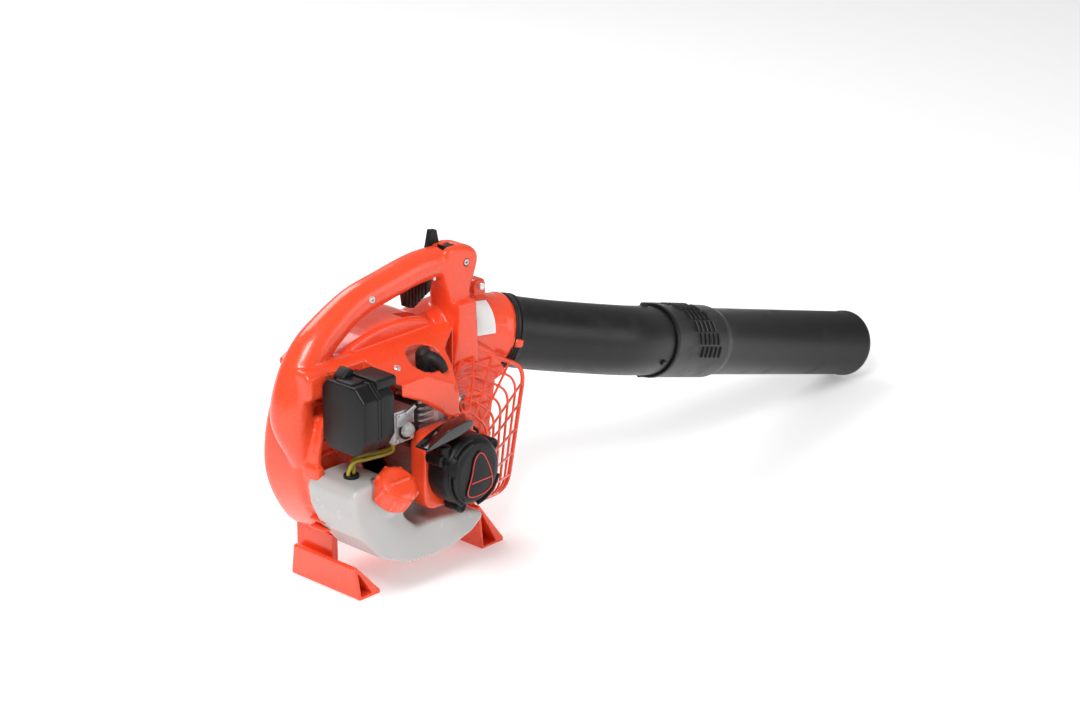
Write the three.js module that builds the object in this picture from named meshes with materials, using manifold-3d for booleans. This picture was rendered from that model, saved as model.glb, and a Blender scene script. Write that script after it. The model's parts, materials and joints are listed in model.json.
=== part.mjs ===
// Hand-held petrol leaf blower, built as an assembly of separate pieces.
// Millimetres, +Z up. The origin is the centre of the rear foot's sole. +X runs towards the blowing
// end, the engine is on the -Y side, and the crank and fan share one axis along Y.
import * as THREE from "three";
import { mergeVertices } from "three/addons/utils/BufferGeometryUtils.js";
import Module from "manifold-3d";

const wasm = await Module();
wasm.setup();

// ---------- driving dimensions ----------
const GAP = 0.3; // clearance between separate pieces
const WALL = 2.6; // moulded housing wall
const ROUND_SIDES = 24; // facets of the large round pieces
const SMALL_SIDES = 10; // facets of pins, screws and thin tubes

const CRANK_X = 91; // crank axis, forward of the rear foot
const CRANK_Z = 150; // crank axis, above the ground
const CASE_NEAR = -14; // engine-side face of the fan case
const CASE_DEPTH = 76; // fan case, face to face
const SEAM_Y = 20; // where the two halves of the fan case meet
const CASE_ROUND = 14; // rounding of the fan case's edges
const EYE_RADIUS = 60; // air inlet of the fan case
const HUB_RADIUS = 27; // plate in the middle of the inlet that carries the engine

const DUCT_RADIUS = 43; // outlet duct, outside
const RING_RADIUS = 44.5; // seal ring at the end of the duct
const PIPE_WALL = 2.2;
const ELBOW_RADIUS = 43;
const PIPE_RADIUS = 42.2;
const COLLAR_LENGTH = 120; // where the straight pipe's collar covers the elbow's end
const PIPE_LENGTH = 436; // straight pipe, from the start of its collar
const LIP_RADIUS = 43.4;

const HANDLE_RADIUS = 19;
const HANDLE_ROOT_RADIUS = 23; // thicker where the handle runs into the fan case
const HANDLE_Y = 0; // middle plane of the handle

const FOOT_LENGTH = 115; // both feet, along Y
const FOOT_NEAR = -57.5;
const FOOT_WALL = 3;
const FRONT_FOOT_X = 182; // rear edge of the front foot's sole

const ENGINE_Y = -56; // middle plane of the cylinder and the crank throw
const CRANKCASE_RADIUS = 36;
const CRANKCASE_NEAR = -82;
const CRANKCASE_FAR = -30;
const SHAFT_RADIUS = 6;
const CRANK_THROW = 14;
const ROD_LENGTH = 30; // crank pin to wrist pin
const BORE_RADIUS = 17;
const CYLINDER_FOOT_Z = 192;
const CYLINDER_TOP_Z = 246;

const STARTER_RADIUS = 42;
const STARTER_FACE = -142;
const STARTER_BACK = -104;
const REEL_RADIUS = 31;

const FLYWHEEL_RADIUS = 36;
const IMPELLER_RADIUS = 88;

const TANK_NEAR = -97;
const TANK_FAR = -20;
const TANK_ROUND = 5;
const CAP_RADIUS = 26;

const BOX_LEFT = -49; // air cleaner, rear face
const BOX_RIGHT = -4;
const BOX_NEAR = -107;
const BOX_FAR = -38;
const BOX_BOTTOM = 195;
const BOX_TOP = 277;
const BOX_ROUND = 10;

const CASE_FAR = CASE_NEAR + CASE_DEPTH;
const DUCT_TOP_Z = CRANK_Z + 102; // duct middle where it leaves the case
const LUG_X = CRANK_X + 161; // clamp bolt on top of the duct
const LUG_Z = DUCT_TOP_Z + DUCT_RADIUS - 1;
const DUCT_STEPS = 9;
const FOOT_HEIGHT = 43;
const FOOT_WIDTH = 32;
const HANDLE_TOP_Z = CRANK_Z + 190; // middle of the grip
const POST_X = CRANK_X + 104; // middle of the front post
const TRIGGER_FRONT = POST_X - 47;
const TRIGGER_LENGTH = 34;
const TRIGGER_HALF = 6.5;
const SWITCH_X = POST_X - 16;
const SCREW_HEAD = 4;
const PIN_RADIUS = 2;
const SHROUD_FAR = CRANKCASE_NEAR + 2;
const SHROUD_BORE = FLYWHEEL_RADIUS + 2.5;
const COIL_TOP = 16;
const BEARING_RADIUS = 12;
const FAN_NUT_Y = CASE_FAR - 14;
const PORT_Z = CYLINDER_FOOT_Z + 22;
const EXHAUST_Z = CYLINDER_FOOT_Z + 6; // exhaust port, low on the front side
const PORT_REACH = 32;
const PLUG_THREAD = 5;
const LEAD_RADIUS = 2.2;
const WHEEL_NEAR = STARTER_BACK + 1.5;
const COIL_X = CRANK_X + FLYWHEEL_RADIUS + 1;
const REEL_NEAR = -130;
const REEL_FAR = -114;
const ROPE_RADIUS = 1.75;
const ROPE_COIL = 28;
const ROPE_X = CRANK_X - ROPE_COIL - GAP - ROPE_RADIUS;
const ROPE_Y = (REEL_NEAR + REEL_FAR) / 2;
const BOSS_TOP = CRANK_Z + STARTER_RADIUS - 5; // mouth of the starter rope's boss
const PULL_BOTTOM = BOSS_TOP + 7;
const STARTER_SCREWS = [24, 152, 256];
const TANK_LEFT = -60;
const TANK_TOP = 158;
const NECK_RADIUS = 19;
const FUEL_WAYS = [-4, 4];
const CARB_X = 16;
const CARB_LENGTH = 30;
const CARB_NEAR = -86;
const CARB_BOTTOM = 190;
const HOOD_NEAR = STARTER_BACK + 6;
const HOOD_BOTTOM = CRANK_Z + STARTER_RADIUS + 10; // clear above the flywheel shroud
const HOOD_LEFT = -30;
const HOOD_RIGHT = CRANK_X + 70;
const HOOD_STEP = 18; // rear edge of the deep part, clear of the air cleaner
const GRILLE_FAR = -22;
const GRILLE_NEAR = -96;
const GRILLE_BAR = 2.6;
const GRILLE_LOOPS = 6;
const GRILLE_OUTER = [[190, 236], [206, 236], [292, 190], [261, 42], [214, 42]];
const GRILLE_MIDDLE = [[132, 214], [168, 218], [220, 182], [206, 64], [164, 66]];
const GRILLE_INNER = [[114, 203], [124, 203], [152, 176], [152, 96], [130, 92]];
const PEG_TURNS = [95, 215, 335];

// ---------- colours ----------
const ORANGE = [0xe8391a, 0.35, 0];
const BLACK = [0x1b1c1e, 0.5, 0];
const GLOSS_BLACK = [0x0c0c0d, 0.2, 0];
const METAL = [0x9a9da1, 0.4, 0.9];
const STEEL = [0xb9bcc0, 0.3, 1];
const RUBBER = [0x161616, 0.8, 0];

const V = (x, y, z) => new THREE.Vector3(x, y, z);
const CRANK = V(CRANK_X, 0, CRANK_Z);

// ---------- solids: bars, boxes, slabs, sweeps and turned shapes ----------
function solid(geometry, matrix = new THREE.Matrix4()) {
  const plain = geometry.clone().applyMatrix4(matrix);
  plain.deleteAttribute("normal");
  plain.deleteAttribute("uv");
  const merged = mergeVertices(plain, 1e-4);
  const points = merged.attributes.position.array;
  const faces = [];
  const index = merged.index.array;
  for (let i = 0; i < index.length; i += 3) {
    const [a, b, c] = [index[i], index[i + 1], index[i + 2]];
    if (a !== b && b !== c && c !== a) faces.push(a, b, c);
  }
  const corner = (i) => V(points[3 * i], points[3 * i + 1], points[3 * i + 2]);
  let volume = 0;
  for (let i = 0; i < faces.length; i += 3) {
    volume += corner(faces[i]).dot(corner(faces[i + 1]).cross(corner(faces[i + 2])));
  }
  if (volume < 0) faces.reverse();
  const mesh = new wasm.Mesh({
    numProp: 3,
    vertProperties: new Float32Array(points),
    triVerts: new Uint32Array(faces),
  });
  return new wasm.Manifold(mesh);
}

const join = (...solids) => solids.reduce((a, b) => a.add(b));
const cut = (body, ...tools) => tools.reduce((a, b) => a.subtract(b), body);

const group = new THREE.Group();

function part(name, body, [colour, roughness, metalness]) {
  const made = body.getMesh();
  const geometry = new THREE.BufferGeometry();
  geometry.setAttribute("position", new THREE.BufferAttribute(new Float32Array(made.vertProperties), 3));
  geometry.setIndex(new THREE.BufferAttribute(new Uint32Array(made.triVerts), 1));
  const flat = geometry.toNonIndexed();
  flat.computeVertexNormals();
  const material = new THREE.MeshStandardMaterial({ color: colour, roughness, metalness });
  const mesh = new THREE.Mesh(flat, material);
  mesh.name = name;
  group.add(mesh);
}

// A frame at a point with its third axis along a direction.
function aim(origin, direction, side = V(0, 0, 1)) {
  const w = direction.clone().normalize();
  const hint = Math.abs(w.dot(side)) > 0.95 ? V(1, 0, 0) : side;
  const u = hint.clone().cross(w).normalize();
  const v = w.clone().cross(u);
  return new THREE.Matrix4().makeBasis(u, v, w).setPosition(origin);
}

// A closed outline through [a, b] points, smooth where asked.
function outline(points, smooth = false, divisions = 48) {
  const flat = points.map(([a, b]) => new THREE.Vector2(a, b));
  if (!smooth) return new THREE.Shape(flat);
  const curve = new THREE.CatmullRomCurve3(flat.map((p) => V(p.x, p.y, 0)), true, "centripetal");
  const dense = curve.getPoints(divisions).slice(0, -1);
  return new THREE.Shape(dense.map((p) => new THREE.Vector2(p.x, p.y)));
}

function roundedRectangle(a0, a1, b0, b1, r) {
  const shape = new THREE.Shape();
  shape.moveTo(a0 + r, b0).lineTo(a1 - r, b0);
  shape.absarc(a1 - r, b0 + r, r, -Math.PI / 2, 0, false);
  shape.absarc(a1 - r, b1 - r, r, 0, Math.PI / 2, false);
  shape.absarc(a0 + r, b1 - r, r, Math.PI / 2, Math.PI, false);
  shape.absarc(a0 + r, b0 + r, r, Math.PI, 1.5 * Math.PI, false);
  return shape;
}

function extrude(shape, depth, bevel, curveSegments = 2) {
  return new THREE.ExtrudeGeometry(shape, {
    depth: depth - 2 * bevel,
    steps: 1,
    curveSegments,
    bevelEnabled: bevel > 0,
    bevelThickness: bevel,
    bevelSize: bevel,
    bevelOffset: -bevel,
    bevelSegments: 2,
  }).translate(0, 0, bevel);
}

// An X-Z outline pushed along Y, and a Y-Z outline pushed along X.
function alongY(shape, y0, y1, bevel = 0) {
  const frame = new THREE.Matrix4().makeBasis(V(1, 0, 0), V(0, 0, 1), V(0, -1, 0)).setPosition(0, y1, 0);
  return solid(extrude(shape, y1 - y0, bevel), frame);
}
function alongZ(shape, z0, z1, bevel = 0) {
  return solid(extrude(shape, z1 - z0, bevel), new THREE.Matrix4().makeTranslation(0, 0, z0));
}
function alongX(shape, x0, x1, bevel = 0) {
  const frame = new THREE.Matrix4().makeBasis(V(0, 1, 0), V(0, 0, 1), V(1, 0, 0)).setPosition(x0, 0, 0);
  return solid(extrude(shape, x1 - x0, bevel), frame);
}

function box(x0, x1, y0, y1, z0, z1) {
  const g = new THREE.BoxGeometry(x1 - x0, y1 - y0, z1 - z0);
  return solid(g, new THREE.Matrix4().makeTranslation((x0 + x1) / 2, (y0 + y1) / 2, (z0 + z1) / 2));
}

// A straight round bar between two points, and a profile of [radius, height] turned about an axis.
function bar(from, to, radius, sides = SMALL_SIDES, endRadius = radius) {
  const length = from.distanceTo(to);
  return turned([[0, 0], [radius, 0], [endRadius, length], [0, length]], from, to.clone().sub(from), sides);
}
function turned(profile, origin, direction, sides = ROUND_SIDES) {
  const points = profile.map(([r, h]) => new THREE.Vector2(r, h));
  const lathe = new THREE.LatheGeometry(points, sides).rotateX(Math.PI / 2);
  return solid(lathe, aim(origin, direction));
}
// A ring about an axis: bore, outside radius, start and end along the axis.
function ring(inner, outer, h0, h1, origin, direction, sides = ROUND_SIDES) {
  return turned([[inner, h0], [outer, h0], [outer, h1], [inner, h1], [inner, h0]], origin, direction, sides);
}
const crankRing = (inner, outer, y0, y1, sides) => ring(inner, outer, y0, y1, CRANK, V(0, 1, 0), sides);
const crankDisc = (r, y0, y1, sides = ROUND_SIDES) =>
  bar(V(CRANK_X, y0, CRANK_Z), V(CRANK_X, y1, CRANK_Z), r, sides);

function circle(radius, sides) {
  const corner = (_, i) => {
    const turn = (2 * Math.PI * i) / sides;
    return new THREE.Vector2(radius * Math.cos(turn), radius * Math.sin(turn));
  };
  return new THREE.Shape(Array.from({ length: sides }, corner));
}

const curvePoints = (points, count) =>
  new THREE.CatmullRomCurve3(points, false, "centripetal").getPoints(count);

// A round tube along a curve through points.
function sweep(points, radius, steps, sides = SMALL_SIDES) {
  const path = new THREE.CatmullRomCurve3(points, false, "centripetal");
  const options = { steps, bevelEnabled: false, extrudePath: path };
  return solid(new THREE.ExtrudeGeometry(circle(radius, sides), options));
}

// A square-ended bar between two points, for ribs and grille bars.
function strut(from, to, width) {
  const length = from.distanceTo(to) + width;
  const g = new THREE.BoxGeometry(width, width, length);
  const middle = from.clone().add(to).multiplyScalar(0.5);
  return solid(g, aim(middle, to.clone().sub(from)));
}

// ---------- fan case, duct ----------
// Case radius about the crank axis, at angles from +X towards +Z.
const CASE_RADII = [
  [0, 108],
  [45, 122],
  [75, 141],
  [95, 143],
  [120, 144],
  [149, 152],
  [180, 147],
  [207, 139],
  [228, 128],
  [270, 118],
  [315, 110],
];
function caseOutline(grow) {
  const corner = ([degrees, r]) => {
    const turn = THREE.MathUtils.degToRad(degrees);
    return [CRANK_X + (r + grow) * Math.cos(turn), CRANK_Z + (r + grow) * Math.sin(turn)];
  };
  return outline(CASE_RADII.map(corner), true, 32);
}
const RING_CENTRE = V(CRANK_X + 195, SEAM_Y, CRANK_Z + 78);
const OUTLET = V(0.914, -0.297, -0.276).normalize(); // the way the duct points at its end
const DUCT_PATH = [
  V(CRANK_X + 45, SEAM_Y + 1, DUCT_TOP_Z - 8),
  V(CRANK_X + 105, SEAM_Y + 3, DUCT_TOP_Z - 2),
  V(CRANK_X + 150, SEAM_Y + 5, DUCT_TOP_Z - 10),
  RING_CENTRE.clone().addScaledVector(OUTLET, 12),
];
function caseEnvelope(grow) {
  const volute = alongY(caseOutline(grow), CASE_NEAR - grow, CASE_FAR + grow, CASE_ROUND);
  const past = bar(RING_CENTRE, RING_CENTRE.clone().addScaledVector(OUTLET, 60), 2 * DUCT_RADIUS, 8);
  return join(volute, cut(sweep(DUCT_PATH, DUCT_RADIUS + grow, DUCT_STEPS, ROUND_SIDES), past));
}
const fits = (body) => cut(body, caseEnvelope(GAP));

function fanCase() {
  const inside = curvePoints(DUCT_PATH, 12).slice(1);
  inside.push(RING_CENTRE.clone().addScaledVector(OUTLET, 20));
  const chamber = join(
    alongY(caseOutline(-WALL), CASE_NEAR + WALL, CASE_FAR - WALL, CASE_ROUND - WALL),
    sweep(inside, DUCT_RADIUS - WALL, DUCT_STEPS + 1, ROUND_SIDES),
  );
  const eye = crankRing(HUB_RADIUS, EYE_RADIUS, CASE_NEAR - 5, CASE_NEAR + 8, ROUND_SIDES);
  const spokes = [45, 135, 225, 315].map((degrees) => {
    const turn = THREE.MathUtils.degToRad(degrees);
    const tip = V(CRANK_X + 66 * Math.cos(turn), CASE_NEAR + 2, CRANK_Z + 66 * Math.sin(turn));
    return strut(V(CRANK_X, CASE_NEAR + 2, CRANK_Z), tip, 9);
  });
  const shaftHole = crankDisc(SHAFT_RADIUS + 2, CASE_NEAR - 5, CASE_NEAR + 10);
  const lug = alongY(roundedRectangle(LUG_X - 10, LUG_X + 10, LUG_Z - 16, LUG_Z + 8, 4), SEAM_Y - 7,
    SEAM_Y + 12);
  const lugHole = bar(V(LUG_X, 0, LUG_Z), V(LUG_X, 40, LUG_Z), 2.6);
  const blank = cut(join(caseEnvelope(0), lug), chamber, cut(eye, ...spokes), shaftHole, lugHole);
  const near = box(-400, 700, -200, SEAM_Y - GAP / 2, -100, 500);
  const far = box(-400, 700, SEAM_Y + GAP / 2, 200, -100, 500);
  part("fan_case_inner", blank.intersect(near), ORANGE);
  part("fan_case_cover", blank.intersect(far), ORANGE);
}
fanCase();

// ---------- feet: hollow triangular prisms with a neck up to the fan case ----------
function foot(name, soleX, height, width, neckX, neckWidth, neckTop) {
  const heel = soleX - width / 2;
  const skin = [[heel, 0], [heel + width, 0], [heel + width, 4], [heel - 4, height], [heel - 7, height - 3]];
  const bore = [
    [heel + FOOT_WALL, FOOT_WALL],
    [heel + width - 4 * FOOT_WALL, FOOT_WALL],
    [heel - 2, height - 2.6 * FOOT_WALL],
  ];
  const far = FOOT_NEAR + FOOT_LENGTH;
  const neck = box(neckX, neckX + neckWidth, CASE_NEAR + 4, far - 8, FOOT_WALL, neckTop);
  const side = outline([[FOOT_NEAR, -1], [far, -1], [far - 14, height + 1], [FOOT_NEAR, height + 1]]);
  const tube = cut(
    join(alongY(outline(skin), FOOT_NEAR, far).intersect(alongX(side, heel - 20, heel + width + 20)), neck),
    alongY(outline(bore), FOOT_NEAR - 1, far + 1),
  );
  part(name, fits(tube), ORANGE);
}
foot("rear_foot", 0, FOOT_HEIGHT, FOOT_WIDTH, -13, 9, CRANK_Z - 84);
foot("front_foot", FRONT_FOOT_X + 18, FOOT_HEIGHT + 14, FOOT_WIDTH + 4, FRONT_FOOT_X - 8, 9, CRANK_Z - 74);

// ---------- handle ----------
const HANDLE_PATH = [
  V(CRANK_X - 152, HANDLE_Y, HANDLE_TOP_Z - 118),
  V(CRANK_X - 142, HANDLE_Y, HANDLE_TOP_Z - 80),
  V(CRANK_X - 121, HANDLE_Y, HANDLE_TOP_Z - 49),
  V(CRANK_X - 94, HANDLE_Y, HANDLE_TOP_Z - 29),
  V(CRANK_X - 55, HANDLE_Y, HANDLE_TOP_Z - 9),
  V(CRANK_X - 12, HANDLE_Y, HANDLE_TOP_Z),
  V(CRANK_X + 48, HANDLE_Y, HANDLE_TOP_Z + 9),
  V(POST_X + 2, HANDLE_Y, HANDLE_TOP_Z + 6),
];
function postOutline(inset) {
  const z = HANDLE_TOP_Z;
  return outline([
    [POST_X - 28 + inset, z + 24 - inset],
    [POST_X + 16 - inset, z + 20 - inset],
    [POST_X + 26 - inset, z + 6],
    [POST_X + 13 - inset, z - 30],
    [POST_X + 14 - inset, z - 54],
    [POST_X + 18 - inset, z - 74],
    [POST_X - 18 + inset, z - 74],
    [POST_X - 20 + inset, z - 58],
    [POST_X - 23 + inset, z - 38],
    [POST_X - 31 + inset, z - 8],
  ], true, 22);
}
// Where the post runs down past the duct to the hood and the grille.
function postFoot(grow) {
  const z = HANDLE_TOP_Z;
  const side = outline([[POST_X - 17 - grow, z - 44], [POST_X + 9 + grow, z - 44],
    [POST_X + 10 + grow, z - 80],
    [POST_X + 12 + grow, z - 122 - grow], [POST_X - 32 - grow, z - 122 - grow],
      [POST_X - 22 - grow, z - 80]]);
  const near = HANDLE_Y - HANDLE_RADIUS;
  return alongY(side, near - 12 - grow, near + 3 + grow);
}
const TRIGGER_PIVOT = V(POST_X - 42, HANDLE_Y, HANDLE_TOP_Z - 6);
const LEVER_PIVOT = V(POST_X - 20, HANDLE_Y + 12, HANDLE_TOP_Z + 22);
const HANDLE_SCREWS = [V(CRANK_X - 42, 0, HANDLE_TOP_Z - 3), V(POST_X + 4, 0, HANDLE_TOP_Z + 4)];

function handle() {
  const near = HANDLE_Y - HANDLE_RADIUS;
  const far = HANDLE_Y + HANDLE_RADIUS;
  const solidHandle = join(
    sweep(HANDLE_PATH, HANDLE_RADIUS, 14, 12),
    sweep(HANDLE_PATH.slice(0, 4), HANDLE_ROOT_RADIUS, 6, 12),
    alongY(postOutline(0), near, far, 4),
    postFoot(0),
  );
  const hollow = join(
    sweep(curvePoints(HANDLE_PATH, 20).slice(1), HANDLE_RADIUS - WALL, 12, 10),
    alongY(postOutline(WALL + 3), near + WALL, far - WALL, 2),
  );
  const triggerSlot = box(TRIGGER_FRONT - TRIGGER_LENGTH - 8, TRIGGER_FRONT + 10,
    HANDLE_Y - TRIGGER_HALF - 1, HANDLE_Y + TRIGGER_HALF + 1, HANDLE_TOP_Z - 60, HANDLE_TOP_Z - 4);
  const leverSlot = box(LEVER_PIVOT.x - 22, LEVER_PIVOT.x + 16, LEVER_PIVOT.y - 4, LEVER_PIVOT.y + 4,
    LEVER_PIVOT.z - 16, LEVER_PIVOT.z + 20);
  const switchSlot = box(SWITCH_X - 11, SWITCH_X + 11, HANDLE_Y - 12, HANDLE_Y + 2,
    HANDLE_TOP_Z + 10, HANDLE_TOP_Z + 40);
  const screwHoles = HANDLE_SCREWS.map((p) => bar(V(p.x, near - 1, p.z), V(p.x, near + 9, p.z),
    SCREW_HEAD + GAP));
  const pinHole = bar(TRIGGER_PIVOT.clone().setY(near), TRIGGER_PIVOT.clone().setY(far), PIN_RADIUS + GAP);
  const blank = cut(fits(cut(solidHandle, hollow)), triggerSlot, leverSlot, switchSlot, pinHole,
    ...screwHoles);
  const nearSide = box(-400, 700, -200, HANDLE_Y - GAP / 2, -100, 500);
  const farSide = box(-400, 700, HANDLE_Y + GAP / 2, 200, -100, 500);
  part("handle_shell_near", blank.intersect(nearSide), ORANGE);
  part("handle_shell_far", blank.intersect(farSide), ORANGE);
  HANDLE_SCREWS.forEach((p, i) => {
    const shank = bar(V(p.x, near + 2, p.z), V(p.x, near + 10, p.z), 2);
    part(`handle_screw_${i + 1}`, join(shank, bar(V(p.x, near + 1, p.z), V(p.x, near + 4, p.z),
      SCREW_HEAD)), STEEL);
  });
}
handle();

// ---------- controls in the handle ----------
function controls() {
  const z = HANDLE_TOP_Z;
  const front = TRIGGER_FRONT;
  const rear = front - TRIGGER_LENGTH;
  const blade = outline([[rear, z - 8], [front + 9, z], [front + 4, z - 22], [rear + 12, z - 36],
    [rear + 4, z - 34]]);
  part("throttle_trigger", cut(
    alongY(blade, HANDLE_Y - TRIGGER_HALF, HANDLE_Y + TRIGGER_HALF),
    bar(TRIGGER_PIVOT.clone().setY(-20), TRIGGER_PIVOT.clone().setY(40), PIN_RADIUS + GAP),
  ), BLACK);
  part("trigger_pin", bar(TRIGGER_PIVOT.clone().setY(HANDLE_Y - 13),
    TRIGGER_PIVOT.clone().setY(HANDLE_Y + 13),
    PIN_RADIUS), STEEL);
  const p = LEVER_PIVOT;
  const lever = outline([[p.x - 14, p.z - 8], [p.x + 6, p.z - 8], [p.x + 8, p.z + 2], [p.x + 4, p.z + 20],
    [p.x - 6, p.z + 22], [p.x - 10, p.z + 6]]);
  part("throttle_set_lever", alongY(lever, p.y - 3.4, p.y + 3.4), BLACK);
  const rocker = outline([[SWITCH_X - 8, z + 12], [SWITCH_X + 8, z + 12], [SWITCH_X + 8, z + 27],
    [SWITCH_X, z + 25], [SWITCH_X - 8, z + 29]]);
  part("stop_switch", alongY(rocker, HANDLE_Y - 11, HANDLE_Y + 1), BLACK);
}
controls();

// ---------- engine ----------
function engine() {
  // Crankcase: a drum with an open throat at the top, a nose that stands on the fan case's hub plate.
  const nose = crankDisc(22, CRANKCASE_FAR, CASE_NEAR - GAP);
  const throat = box(CRANK_X - 26, CRANK_X + 26, ENGINE_Y - 18, ENGINE_Y + 18, CRANK_Z + 20,
    CYLINDER_FOOT_Z - GAP);
  const cavity = join(
    crankDisc(28, CRANKCASE_NEAR + 6, CRANKCASE_FAR - 6),
    box(CRANK_X - 21, CRANK_X + 21, ENGINE_Y - 5, ENGINE_Y + 5, CRANK_Z, CYLINDER_FOOT_Z + 5),
  );
  const bearingSeats = crankDisc(BEARING_RADIUS + GAP, CRANKCASE_NEAR - 1, CRANKCASE_FAR + 1);
  const shaftWay = crankDisc(SHAFT_RADIUS + 2, CRANKCASE_FAR - 1, CASE_NEAR + 1);
  part("crankcase", cut(join(crankDisc(CRANKCASE_RADIUS, CRANKCASE_NEAR, CRANKCASE_FAR), nose, throat),
    cavity, bearingSeats, shaftWay), METAL);
  part("bearing_starter_side", crankRing(SHAFT_RADIUS + GAP, BEARING_RADIUS, CRANKCASE_NEAR,
    CRANKCASE_NEAR + 5, 16), STEEL);
  part("bearing_fan_side", crankRing(SHAFT_RADIUS + GAP, BEARING_RADIUS, CRANKCASE_FAR - 5, CRANKCASE_FAR,
    16), STEEL);

  // Crankshaft: two webs and an offset pin.
  const pinHalf = 3;
  const webFace = pinHalf + GAP;
  const pinZ = CRANK_Z + CRANK_THROW;
  part("crankshaft", join(
    crankDisc(SHAFT_RADIUS, STARTER_BACK - 6, ENGINE_Y - webFace, 20),
    crankDisc(SHAFT_RADIUS, ENGINE_Y + webFace, FAN_NUT_Y + 6, 20),
    crankDisc(24, ENGINE_Y - webFace - 8, ENGINE_Y - webFace, 24),
    crankDisc(24, ENGINE_Y + webFace, ENGINE_Y + webFace + 8, 24),
    bar(V(CRANK_X, ENGINE_Y - webFace - 2, pinZ), V(CRANK_X, ENGINE_Y + webFace + 2, pinZ), 4.5),
  ), STEEL);
  const wristZ = pinZ + ROD_LENGTH;
  const rodFrom = V(CRANK_X, ENGINE_Y - pinHalf, 0);
  const rodEnd = (z, r) => bar(rodFrom.clone().setZ(z), rodFrom.clone().setZ(z).setY(ENGINE_Y + pinHalf), r);
  part("connecting_rod", cut(
    join(rodEnd(pinZ, 8), rodEnd(wristZ, 6),
      box(CRANK_X - 3, CRANK_X + 3, ENGINE_Y - 2, ENGINE_Y + 2, pinZ, wristZ)),
    bar(V(CRANK_X, ENGINE_Y - 9, pinZ), V(CRANK_X, ENGINE_Y + 9, pinZ), 4.5 + GAP),
    bar(V(CRANK_X, ENGINE_Y - 9, wristZ), V(CRANK_X, ENGINE_Y + 9, wristZ), 3),
  ), STEEL);

  // Cylinder: finned block with the bore open below, plug hole above, ports left and right.
  const fins = [0, 1, 2, 3, 4, 5].map((i) => {
    const z = CYLINDER_FOOT_Z + 9 + i * 7.4;
    return alongZ(roundedRectangle(CRANK_X - 29, CRANK_X + 29, ENGINE_Y - 22, ENGINE_Y + 21, 8), z, z + 2.4);
  });
  const up = V(0, 0, 1);
  const base = V(CRANK_X, ENGINE_Y, CYLINDER_FOOT_Z);
  const barrel = join(
    turned([[0, 0], [23, 0], [23, CYLINDER_TOP_Z - CYLINDER_FOOT_Z], [0, CYLINDER_TOP_Z - CYLINDER_FOOT_Z]],
      base, up, 24),
    box(CRANK_X - 28, CRANK_X + 28, ENGINE_Y - 20, ENGINE_Y + 20, CYLINDER_FOOT_Z, CYLINDER_FOOT_Z + 5),
    box(CRANK_X - PORT_REACH, CRANK_X, ENGINE_Y - 13, ENGINE_Y + 13, PORT_Z - 12, PORT_Z + 12),
    box(CRANK_X, CRANK_X + PORT_REACH, ENGINE_Y - 9, ENGINE_Y + 11, EXHAUST_Z - 4, EXHAUST_Z + 9),
    ...fins,
  );
  const portWay = bar(V(CRANK_X - 60, ENGINE_Y, PORT_Z), V(CRANK_X, ENGINE_Y, PORT_Z), 7);
  const exhaustWay = bar(V(CRANK_X, ENGINE_Y, EXHAUST_Z), V(CRANK_X + 60, ENGINE_Y, EXHAUST_Z), 3.6);
  part("cylinder", cut(barrel,
    bar(base.clone().setZ(CYLINDER_FOOT_Z - 2), base.clone().setZ(CYLINDER_TOP_Z - 8), BORE_RADIUS, 24),
    bar(base, base.clone().setZ(CYLINDER_TOP_Z + 4), PLUG_THREAD + GAP),
    portWay, exhaustWay), METAL);
  part("piston", cut(
    bar(base.clone().setZ(CYLINDER_FOOT_Z + 12), base.clone().setZ(CYLINDER_FOOT_Z + 34), BORE_RADIUS - GAP,
      24),
    bar(base.clone().setZ(CYLINDER_FOOT_Z + 10), base.clone().setZ(CYLINDER_FOOT_Z + 30), BORE_RADIUS - 3,
      20),
  ), METAL);

  const top = base.clone().setZ(CYLINDER_TOP_Z);
  part("spark_plug", turned([[0, -12], [PLUG_THREAD, -12], [PLUG_THREAD, GAP], [7.5, GAP], [7.5, 8],
    [4.5, 9],
    [4.5, 20], [0, 20]], top, up, 12), STEEL);
  const bootHead = top.clone().add(V(0, 0, 30));
  part("plug_boot", cut(
    join(turned([[0, 10], [9, 10], [9, 26], [6, 32], [0, 33]], top, up, 16),
      bar(bootHead, BOOT_END, 6.5, 12, 5)),
    bar(top, top.clone().add(V(0, 0, 21)), 4.5 + GAP)), RUBBER);

  // Exhaust side.
  const muffler = cut(
    alongY(roundedRectangle(CRANK_X + PORT_REACH + 6, CRANK_X + PORT_REACH + 42, EXHAUST_Z - 38,
      EXHAUST_Z + 10, 8),
      ENGINE_Y - 10, ENGINE_Y + 30, 4),
    bar(V(CRANK_X + PORT_REACH, ENGINE_Y, EXHAUST_Z), V(CRANK_X + PORT_REACH + 20, ENGINE_Y, EXHAUST_Z), 6),
    bar(V(CRANK_X + PORT_REACH + 30, ENGINE_Y - 40, EXHAUST_Z - 24),
      V(CRANK_X + PORT_REACH + 30, ENGINE_Y, EXHAUST_Z - 24), 4),
  );
  part("muffler", muffler, METAL);
  part("exhaust_gasket", cut(
    box(CRANK_X + PORT_REACH + GAP, CRANK_X + PORT_REACH + 6 - GAP, ENGINE_Y - 9, ENGINE_Y + 11,
      EXHAUST_Z - 10, EXHAUST_Z + 9), exhaustWay), METAL);

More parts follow.
